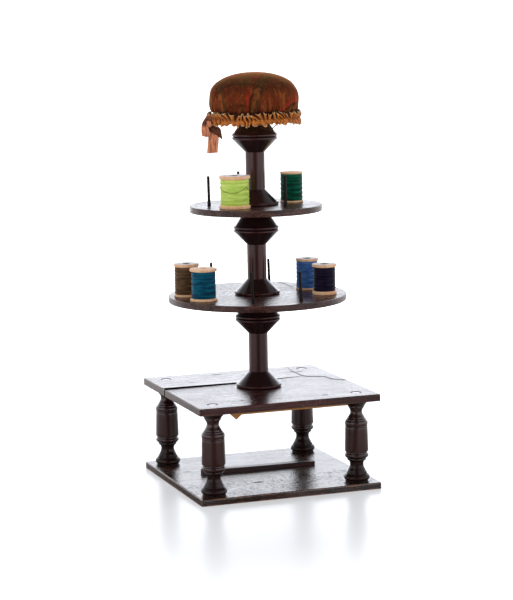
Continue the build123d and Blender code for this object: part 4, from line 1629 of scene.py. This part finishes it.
@dataclass
class GatheredFrill:
    """A gold ribbon gathered round the foot of the pincushion."""

    mean_radius: float = 45.9 * MM
    outer: float = 48.2 * MM
    inner: float = 43.3 * MM
    width: float = 11.6 * MM
    folds: int = 67
    puffs: int = 55
    along: int = 2800
    across: int = 15
    shade_from: float = 1.3 * MM
    shade_depth: float = 2.2 * MM

    def build(self) -> bpy.types.Object:
        """Build the frill as one strip round the cushion.

        Along the strip each thread is a meander: its direction swings from one side to the other
        as an angle times the sine of the fold's phase, and the thread is the running sum of that
        direction's cosine, laid round the circle, and sine, laid in and out. The angle is small on
        the stitched line and passes a right angle at the upper edge, so that the edge draws open
        loops. The phase wanders, so no two folds are alike. The part below the stitches puffs out,
        and the edges rise and sag slowly round the cushion.

        Returns:
            The frill.
        """
        s = angles(self.along)[:, None]
        v = np.linspace(-1, 1, self.across)[None, :]
        drift = 0.7 * np.sin(7 * s + 0.4) + 0.5 * np.sin(12 * s + 2.0)
        top_phase = self.folds * s + 1.2 * drift + 0.5 * np.sin(23 * s + 1.0)
        foot_phase = self.puffs * s - drift + 0.55 * np.sin(19 * s + 0.3)
        loose = 1 + 0.34 * np.sin(9 * s + 1.3) + 0.24 * np.sin(19 * s + 0.2) + 0.12 * np.sin(33 * s)
        upper = np.clip((v + 0.05) / 1.05, 0, 1)
        lower = np.clip((-v - 0.05) / 0.95, 0, 1)
        direction = 1.75 * upper**0.7 * loose * np.sin(top_phase + 0.6 * upper)
        direction = direction + 1.45 * lower**0.6 * loose[::-1] * np.sin(foot_phase - 0.4 * lower)
        direction = direction + 0.7 * (1 - upper - lower) * np.sin(top_phase + 0.5)
        onward = np.cumsum(np.cos(direction), axis=0)
        onward = onward / onward[-1:] * 2 * np.pi
        step = 2 * np.pi * self.mean_radius / np.cos(direction).sum(axis=0, keepdims=True)
        inward = np.cumsum(np.sin(direction), axis=0) * step
        inward = inward - (inward[-1:] - inward[:1]) * np.linspace(0, 1, self.along)[:, None]
        window = int(self.along / self.puffs * 1.3)
        wide = np.concatenate([inward[-window:], inward, inward[:window]])
        total = np.cumsum(wide, axis=0)
        middle = (total[2 * window:] - total[:-2 * window]) / (2 * window)
        swing = inward - middle[:self.along]
        puff = (1.0 * np.sin(np.pi * lower) - 0.6 * (1 - upper - lower) + 0.5 * upper) * MM
        room = self.outer - self.inner
        past = self.mean_radius + puff + swing - (self.inner + self.outer) / 2
        radius = self.inner + room / (1 + np.exp(-3.4 * past / room))
        heading = onward + 0.02 * np.sin(5 * s) * v
        low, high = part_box("frill")
        level = (low.z + high.z) / 2 + 0.1 * MM + v * self.width * 0.5
        sag = 0.7 * np.cos(heading - SIDE_HEADING + 1.15) + 0.55 * np.sin(4 * heading + 0.6)
        ripple = upper * (1.1 * np.sin(top_phase * 0.37 + 1.0) + 1.0 * np.sin(top_phase + 2.0))
        ripple = ripple + lower * (0.9 * np.sin(foot_phase * 0.4) + 0.9 * np.sin(foot_phase + 1.0))
        level = level + (sag + ripple) * MM
        points = about(radius, heading, level)
        run = np.linalg.norm(np.roll(points, -1, axis=0) - points, axis=2)
        cross = np.linalg.norm(np.diff(points, axis=1), axis=2).sum(axis=1).mean()
        far = np.concatenate([np.zeros((1, self.across)), np.cumsum(run, axis=0)[:-1]])
        # Painted shade, as a share for the back colour, deeper in the frill's inner recesses and
        # more on its upper half.
        recess = np.clip((self.outer - self.shade_from - radius) / self.shade_depth, 0, 1)
        recess = np.clip(recess * (0.75 + 0.6 * upper), 0, 1)
        flat = np.stack([far, v * cross / 2 + 0 * far, recess], -1)
        faces = grid_faces(self.along, self.across, True, False)
        # Colours: lit and crinkle-shaded ribbon, a dark one for the painted shade of the recesses,
        # and a pale one for painted highlights on the edges.
        finish = RibbonFinish(
            "gold_ribbon", stain(255, 156, 64), stain(170, 78, 26), stain(62, 22, 8),
            stain(255, 206, 146), float(cross / 2), creased=0.0008,
            crease_scale=(380.0, 420.0), contrast=0.9, rim=1.3 * MM,
        ).brew()
        piece = make_piece("gathered_frill", points, faces, finish, flat.reshape(-1, 3))
        wall = piece.modifiers.new("weave", "SOLIDIFY")
        wall.thickness, wall.offset = 0.18 * MM, 0.0
        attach(piece, "stand")
        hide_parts("frill")
        return piece


@dataclass(frozen=True)
class RibbonStrip:
    """One length of the bow's ribbon, by knots along its middle.

    A knot is sideways, outwards and up in millimetres from the bow's own knot, the turn of the
    ribbon's width in degrees from level, its width in millimetres, and its share of painted shade.
    """

    knots: tuple[tuple[float, float, float, float, float, float], ...]
    flute: float = 0.4
    flutes: float = 2.5
    slant: float = 0.0
    count: int = 90
    across: int = 15
    bow: float = 0.25 * MM

    def points(self, cut_width: float) -> tuple[np.ndarray, np.ndarray, float]:
        """Carry the ribbon's cross line along a smooth line.

        The cross line is the width times a unit vector square to the line, bowed outwards at its
        edges and fluted by a cosine across it. The cut end slants by a share of the width.

        Args:
            cut_width: Width of the flat ribbon, in metres.

        Returns:
            Points, their place on the flat ribbon, and the ribbon's length.
        """
        line = smooth_line(self.knots, self.count)
        middle = line[:, :3] * MM
        turn = np.radians(line[:, 3])
        side = np.stack([np.cos(turn), 0 * turn, np.sin(turn)], -1)
        travel = np.gradient(middle, axis=0)
        travel /= np.linalg.norm(travel, axis=1, keepdims=True)
        side = side - travel * np.sum(side * travel, axis=1, keepdims=True)
        side /= np.linalg.norm(side, axis=1, keepdims=True)
        out = np.cross(side, travel)
        out *= np.sign(out[:, 1:2] + 1e-6)
        v = np.linspace(-1, 1, self.across)
        share = np.linspace(0, 1, self.count)[:, None]
        flute = np.cos(v * np.pi * self.flutes + 1.3 * np.sin(share * 4.0))
        bulge = flute * self.flute * MM + self.bow * (1 - v**2)
        end = np.clip((share - 0.8) / 0.2, 0, 1)
        points = (
            middle[:, None] + side[:, None] * (v * line[:, 4:5] * MM / 2)[:, :, None]
            + out[:, None] * bulge[:, :, None]
            - travel[:, None] * (v * end * self.slant * MM)[:, :, None]
        )
        steps = np.linalg.norm(np.diff(middle, axis=0), axis=1)
        run = np.concatenate([[0.0], np.cumsum(steps)])[:, None]
        # The last knot value is the share of painted shade, shown in the back colour.
        back = np.clip(line[:, 5:6], 0, 1)
        flat = np.stack([run + 0 * v, v * cut_width / 2 + 0 * run, back + 0 * v], -1)
        return points, flat, float(run[-1, 0])


@dataclass
class RibbonBow:
    """A knotted copper ribbon at the cushion's left: a full loop, a dark fold, a knot and tails."""

    cut_width: float = 10.5 * MM
    sideways: float = -43.5 * MM
    outwards: float = 19.0 * MM
    above: float = 2.0 * MM
    strips: tuple[RibbonStrip, ...] = (
        # strap from under the frill that turns into the full loop and tucks in behind
        RibbonStrip(
            ((-1.2, -0.8, 8.0, 8, 5.0, 0.5), (-3.9, 0.8, 4.0, 10, 5.2, 0.7),
             (-5.8, 2.4, 0.0, 8, 5.6, 0.65), (-5.6, 4.6, -4.2, 0, 7.2, 0.1),
             (-4.9, 5.0, -8.6, -4, 8.2, 0.0), (-4.4, 3.2, -11.8, -6, 7.8, 0.15),
             (-3.4, 0.6, -11.2, -4, 7.0, 0.7), (-2.0, -0.4, -6.5, 0, 6.0, 1.0)),
            flute=0.3, flutes=1.5,
        ),
        # dark fold that runs right and ends in the short pointed tail
        RibbonStrip(
            ((0.6, 1.0, -2.6, 70, 4.6, 0.9), (3.6, 2.6, -4.2, 62, 7.6, 0.85),
             (6.4, 2.8, -6.8, 42, 8.2, 0.75), (8.2, 2.2, -9.6, 34, 5.6, 0.8),
             (9.8, 1.5, -12.4, 30, 3.0, 0.7), (11.4, 1.0, -15.0, 28, 0.5, 0.6)),
            flute=0.45, flutes=1.5,
        ),
        # long hanging tail, cut on a slant
        RibbonStrip(
            ((2.4, 0.6, -6.0, 0, 4.5, 0.8), (2.7, 1.0, -9.4, 0, 8.6, 0.3),
             (2.8, 1.4, -12.0, 0, 10.4, 0.05), (2.4, 1.7, -17.5, 0, 10.6, 0.0),
             (1.7, 1.2, -23.5, 0, 10.4, 0.0), (1.25, 1.5, -28.6, 0, 10.6, 0.0)),
            flute=0.42, flutes=2.6, slant=0.75,
        ),
        # the knot's own wrap
        RibbonStrip(
            ((-2.2, 1.2, 3.4, 0, 3.4, 0.2), (-1.6, 3.6, 2.4, 0, 4.2, 0.0),
             (-1.3, 4.8, 0.2, 0, 4.6, 0.0), (-1.0, 4.0, -2.0, 0, 4.2, 0.25),
             (-0.6, 1.8, -2.8, 0, 3.6, 0.8), (-0.6, -0.4, -1.0, 0, 3.6, 1.0)),
            flute=0.35, flutes=1.5,
        ),
        # a short turn of ribbon that fills in behind the knot
        RibbonStrip(
            ((-3.0, 0.2, 4.5, 0, 4.6, 0.9), (-1.2, 0.9, 0.6, 0, 7.6, 0.8),
             (0.0, 1.1, -3.6, 0, 8.4, 0.85), (1.2, 0.4, -8.4, 0, 8.4, 1.0)),
            flute=0.3, flutes=1.5,
        ),
    )

    def build(self) -> bpy.types.Object:
        """Build the bow from its strips, as one piece.

        Returns:
            The bow.
        """
        points, flats, faces, start, length = [], [], [], 0, 0.0
        for strip in self.strips:
            got, flat, run = strip.points(self.cut_width)
            rows, columns = got.shape[:2]
            points.append(got.reshape(-1, 3))
            flats.append(flat.reshape(-1, 3) + [length, 0, 0])
            faces.append(grid_faces(rows, columns, False, False) + start)
            start += rows * columns
            length += run
        knot = [self.sideways, self.outwards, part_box("ribbon_bow")[1].z + self.above]
        world = from_front(np.concatenate(points) + knot)
        # Colours: lit and crinkle-shaded ribbon, a dark one for painted shade, and a pale one for
        # painted highlights on the edges.
        finish = RibbonFinish(
            "copper_ribbon", stain(244, 158, 116), stain(156, 80, 42), stain(86, 40, 20),
            stain(222, 160, 124), self.cut_width / 2, creased=0.0006,
            crease_scale=(110.0, 620.0), contrast=0.8,
        ).brew()
        faces, flats = np.concatenate(faces), np.concatenate(flats)
        piece = make_piece("bow_of_ribbon", world, faces, finish, flats)
        wall = piece.modifiers.new("weave", "SOLIDIFY")
        wall.thickness, wall.offset = 0.22 * MM, 0.0
        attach(piece, "stand")
        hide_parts("ribbon_bow")
        log.info("bow: %.0f mm of ribbon", length / MM)
        return piece


@dataclass
class LooseThread:
    """The end of cotton that wanders from the blue reel to the edge of the top board."""

    thickness: float = 0.4 * MM
    length: float = 254.8 * MM
    route: tuple[Triple, ...] = (
        (45.88, 10.15, 196.1), (45.72, 16.83, 193.75), (47.16, 25.02, 191.45),
        (48.6, 36.0, 191.15), (50.22, 48.96, 191.15), (50.04, 60.03, 191.15),
        (50.31, 67.5, 191.15), (50.22, 71.37, 191.2), (50.31, 74.7, 191.4), (50.4, 76.1, 190.0),
        (50.31, 76.4, 186.91), (50.49, 76.3, 180.94), (50.94, 76.4, 168.88),
        (51.3, 76.3, 148.86), (52.56, 76.4, 128.93), (54.27, 75.9, 112.89),
        (56.88, 74.4, 102.45), (59.04, 71.4, 97.61), (60.2, 66.62, 96.25), (60.29, 58.02, 96.25),
        (61.33, 46.97, 96.25), (60.57, 37.04, 96.25), (62.37, 29.48, 96.25),
        (68.04, 25.8, 96.25), (75.6, 23.62, 96.25), (80.23, 17.58, 96.25), (80.42, 8.98, 96.25),
        (82.97, 0.47, 96.25), (88.17, -4.63, 96.25), (93.18, -6.24, 96.25),
    )

    def build(self) -> bpy.types.Object:
        """Returns:
            The thread.
        """
        curve = bpy.data.curves.new("loose_cotton", "CURVE")
        curve.dimensions, curve.resolution_u = "3D", 8
        curve.bevel_depth, curve.bevel_resolution = self.thickness / 2, 2
        curve.use_fill_caps = True
        spline = curve.splines.new("NURBS")
        spline.points.add(len(self.route) - 1)
        for point, (x, y, z) in zip(spline.points, self.route):
            point.co = (x * MM, y * MM, z * MM, 1.0)
        spline.order_u = 3
        spline.use_endpoint_u = True
        recipe = Recipe("pale_cotton")
        twist = recipe.mottle(recipe.shifted(scale=(900, 900, 900)), 1.0, 2.0)
        # Greys darker than the pale cotton, as painted shade against the strong back light.
        colour = recipe.blend(twist.rise(0.3, 0.7), stain(146, 148, 156), stain(108, 110, 120))
        curve.materials.append(recipe.finish(Base_Color=colour, Roughness=0.7, Sheen_Weight=0.2))
        piece = place_thing("loose_cotton", curve)
        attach(piece, "stand")
        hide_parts("loose_thread")
        return piece


@dataclass
class StrayPin:
    """A bent steel pin that sticks out below the frill, right of the column's cone."""

    thickness: float = 1.0 * MM
    bends: tuple[Triple, ...] = (
        (23.2, 24.0, 1.5), (17.2, 21.0, -4.2), (10.4, 17.6, -4.4), (5.2, 19.6, -2.2),
    )
    taper: tuple[float, ...] = (1.0, 0.9, 0.7, 0.5)
    sides: int = 8

    def build(self) -> bpy.types.Object:
        """Build the pin as a tube through its bends, thinner at its point.

        Returns:
            The pin.
        """
        route = from_front(np.array(self.bends) * MM + [0.0, 0.0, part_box("frill")[0].z])
        along = np.gradient(route, axis=0)
        along /= np.linalg.norm(along, axis=1, keepdims=True)
        first = np.cross(along, [0.0, 0.0, 1.0])
        first /= np.linalg.norm(first, axis=1, keepdims=True)
        second = np.cross(along, first)
        angle = angles(self.sides)[None, :, None]
        ring = first[:, None] * np.cos(angle) + second[:, None] * np.sin(angle)
        slim = np.array(self.taper)[:, None, None] * self.thickness / 2
        points = (route[:, None] + ring * slim).reshape(-1, 3)
        faces = tube_faces(len(route), self.sides)
        recipe = Recipe("steel")
        tarnish = recipe.mottle(recipe.shifted(), 900.0, 2.0)
        colour = recipe.blend(tarnish.rise(0.4, 0.7), stain(84, 76, 70), stain(60, 52, 48))
        steel = recipe.finish(Base_Color=colour, Specular_IOR_Level=0.3, Roughness=0.6)
        piece = make_piece("stray_pin", points, faces, steel)
        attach(piece, "stand")
        return piece


# ---- studio ----


@dataclass
class Studio:
    """A plain white table, large soft lamps at both sides and behind, and the camera.

    A light's number is the brightness of its face, where 1 is white. The mirror numbers are the
    brightness that the varnish mirrors at the sides, and how much more or less behind and ahead.
    """

    camera_place: Triple = (-0.7085, -1.9769, 0.4868)
    heading: float = math.radians(-19.69)
    pitch: float = math.radians(8.2)
    roll: float = math.radians(-1.01)
    focal_length: float = 125.7
    side_light: float = 0.42
    back_light: float = 1.35
    fill_light: float = 0.66
    mirror_side: float = 0.58
    mirror_behind: float = 0.58
    mirror_ahead: float = 0.48
    table_half: float = 14.0
    aim_height: float = 0.22
    white: Colour = (1.0, 1.0, 1.0, 1.0)
    cool: Colour = (0.905, 0.935, 1.0, 1.0)

    def place_camera(self) -> None:
        """Stand the camera where the stand is seen from a little to its left and above."""
        lens = bpy.data.cameras.new("camera")
        lens.lens, lens.sensor_width = self.focal_length, 36.0
        camera = place_thing("camera", lens)
        camera.matrix_world = (
            Matrix.Translation(self.camera_place)
            @ Matrix.Rotation(self.heading, 4, "Z")
            @ Matrix.Rotation(math.pi / 2 - self.pitch, 4, "X")
            @ Matrix.Rotation(self.roll, 4, "Z")
        )
        bpy.context.scene.camera = camera

    def lamp(
        self, name: str, turn: float, place: Pair, size: Pair, radiance: float, colour: Colour
    ) -> None:
        """Hang one large soft lamp, unseen by the camera and aimed at the stand's middle.

        Args:
            name: Name of the lamp.
            turn: Angle to the left of the line from the stand to the camera, in degrees.
            place: Distance from the stand's axis and height, in metres.
            size: Width and height, in metres.
            radiance: Brightness of its face, where 1 is white.
            colour: Colour of its light.
        """
        light = bpy.data.lights.new(name, "AREA")
        light.shape, light.size, light.size_y = "RECTANGLE", size[0], size[1]
        light.energy = radiance * size[0] * size[1] * math.pi
        light.color = colour[:3]
        toward = math.atan2(self.camera_place[1], self.camera_place[0]) - math.radians(turn)
        away, height = place
        lamp = place_thing(name, light)
        lamp.location = (away * math.cos(toward), away * math.sin(toward), height)
        aim = Vector((0.0, 0.0, self.aim_height)) - lamp.location
        lamp.rotation_euler = aim.to_track_quat("-Z", "Y").to_euler()
        lamp.visible_camera = False

    def hang_lamps(self) -> None:
        """Light the stand from both sides and from behind."""
        for name, turn in (("softbox_left", 61), ("softbox_right", -61)):
            self.lamp(name, turn, (1.5, 0.6), (2.2, 1.3), self.side_light, self.white)
        self.lamp("softbox_back", 180, (2.0, 0.7), (2.6, 1.4), self.back_light, self.cool)

    def mirrored(self, east: Wire, north: Wire) -> Wire:
        """What the varnish mirrors in each direction: white behind, less beside, dark ahead.

        Args:
            east: Direction's first part.
            north: Direction's second part.

        Returns:
            Brightness of the mirrored studio.
        """
        ahead = Vector(self.camera_place[:2]).normalized()
        length = ((east * east + north * north) ** 0.5).most(1e-4)
        toward = (east * ahead.x + north * ahead.y) / length
        behind = toward.rise(0.15, -0.6)
        front = toward.rise(math.cos(math.radians(25)), math.cos(math.radians(9)))
        return self.mirror_side + behind * self.mirror_behind - front * self.mirror_ahead

    def rays(self, recipe: Recipe, *kinds: str) -> list[Wire]:
        """Whether the ray that meets the surface is of each kind, as 0 or 1."""
        return [recipe.node("ShaderNodeLightPath", output=f"Is {kind} Ray") for kind in kinds]

    def white_world(self) -> None:
        """White where it is looked at, the mirrored studio in the varnish, and dim overhead."""
        world = bpy.data.worlds.new("studio")
        bpy.context.scene.world = world
        recipe = Recipe(world=world)
        east, north, up = recipe.split(recipe.node("ShaderNodeTexCoord", output="Generated"))
        seen, clear, glossy, diffuse = self.rays(
            recipe, "Camera", "Transmission", "Glossy", "Diffuse"
        )
        band = up.rise(0.62, 0.3) * 0.6 + 0.4
        shine = (glossy * self.mirrored(east, north)) * band
        strength = seen.most(clear).most(shine).most(diffuse * self.fill_light)
        tint = recipe.blend(glossy, self.white, self.cool)
        recipe.show(
            recipe.node("ShaderNodeBackground", {}, {"Color": tint, "Strength": strength})
        )

    def lay_floor(self) -> None:
        """Lay a wide white table top that keeps the stand's soft shadow."""
        side = self.table_half
        points = np.array([(-side, -side, 0), (side, -side, 0), (side, side, 0), (-side, side, 0)])
        points[:, 2] = -0.02 * MM
        recipe = Recipe("white_table")
        seen, glossy = self.rays(recipe, "Camera", "Glossy")
        east, north, _ = recipe.split(recipe.place())
        far = ((east * east + north * north) ** 0.5).rise(0.22, 0.8)
        mirrored = self.mirrored(east, north)
        recipe.finish(Base_Color=(0.85, 0.87, 0.92, 1), Roughness=0.26, IOR=1.4)
        shine, studio = (
            recipe.node("ShaderNodeEmission", {}, {"Color": self.white, "Strength": strength})
            for strength in (seen * (far * 0.74 + 0.26), (far * 0.7 + 0.3) * mirrored)
        )
        lit = recipe.node("ShaderNodeAddShader", {}, {0: recipe.shader(), 1: shine})
        recipe.show(recipe.node("ShaderNodeMixShader", {}, {0: glossy, 1: lit, 2: studio}))
        make_piece("table_top", points, [[0, 1, 2, 3]], recipe.material)

    def build(self) -> None:
        """Set up the camera, table, lamps and world, and show colours as they are written."""
        self.place_camera()
        self.lay_floor()
        self.hang_lamps()
        self.white_world()
        bpy.context.scene.view_settings.view_transform = "Standard"


# ---- making ----


def main() -> None:
    """Build and dress the stand in the order of its making."""
    logging.basicConfig(level=logging.INFO, format="%(name)s: %(message)s")
    Studio().build()
    log.info("studio set")
    log.info("piece: %s", LooseThread().build().name)
    joinery = Joinery()
    for step in (
        joinery.dress_boards, joinery.dress_turnings, joinery.dress_tiers, joinery.dress_battens
    ):
        step()
        log.info("joinery: %s", step.__name__)
    log.info("piece: %s", joinery.lift_split_edge().name)
    paper = stain(226, 222, 226)
    front = math.degrees(VIEW_HEADING)
    slack = (
        ((front - 88, 21.5), (front - 66, 19.6), (front - 36, 17.0), (front - 4, 16.2),
         (front + 26, 18.2), (front + 52, 21.4), (front + 76, 23.4), (front + 96, 23.8)),
        ((front + 46, 22.4), (front + 64, 19.6), (front + 80, 18.8), (front + 100, 18.4)),
    )
    reels = (
        CottonReel(
            "olive", stain(124, 92, 64), stain(62, 44, 29), 1, (2.0, 2.8), uneven=0.8, paper=paper
        ),
        CottonReel("teal", stain(0, 108, 136), stain(0, 48, 72), 2, (2.0, 2.3), 0.2, 0.85),
        CottonReel(
            "navy", stain(38, 28, 62), stain(14, 9, 22), 3, (3.0, 2.8), uneven=0.8, paper=paper
        ),
        CottonReel(
            "blue", stain(92, 142, 206), stain(38, 76, 142), 4, (1.5, 2.4), uneven=0.8, paper=paper
        ),
        CottonReel(
            "lime", stain(238, 255, 142), stain(178, 214, 82), 5, (2.8, 3.2), 0.5, 0.8,
            stray=stain(222, 206, 110), paper=paper, slack=slack,
        ),
        CottonReel("dark_green", stain(0, 114, 84), stain(0, 44, 33), 6, (1.5, 1.8), uneven=0.8),
    )
    for reel in reels:
        log.info("piece: %s", reel.turning().name)
        log.info("piece: %s", reel.winding().name)
    for maker in (Pincushion, GatheredFrill, RibbonBow, StrayPin):
        log.info("piece: %s", maker().build().name)


if __name__ == "__main__":
    main()
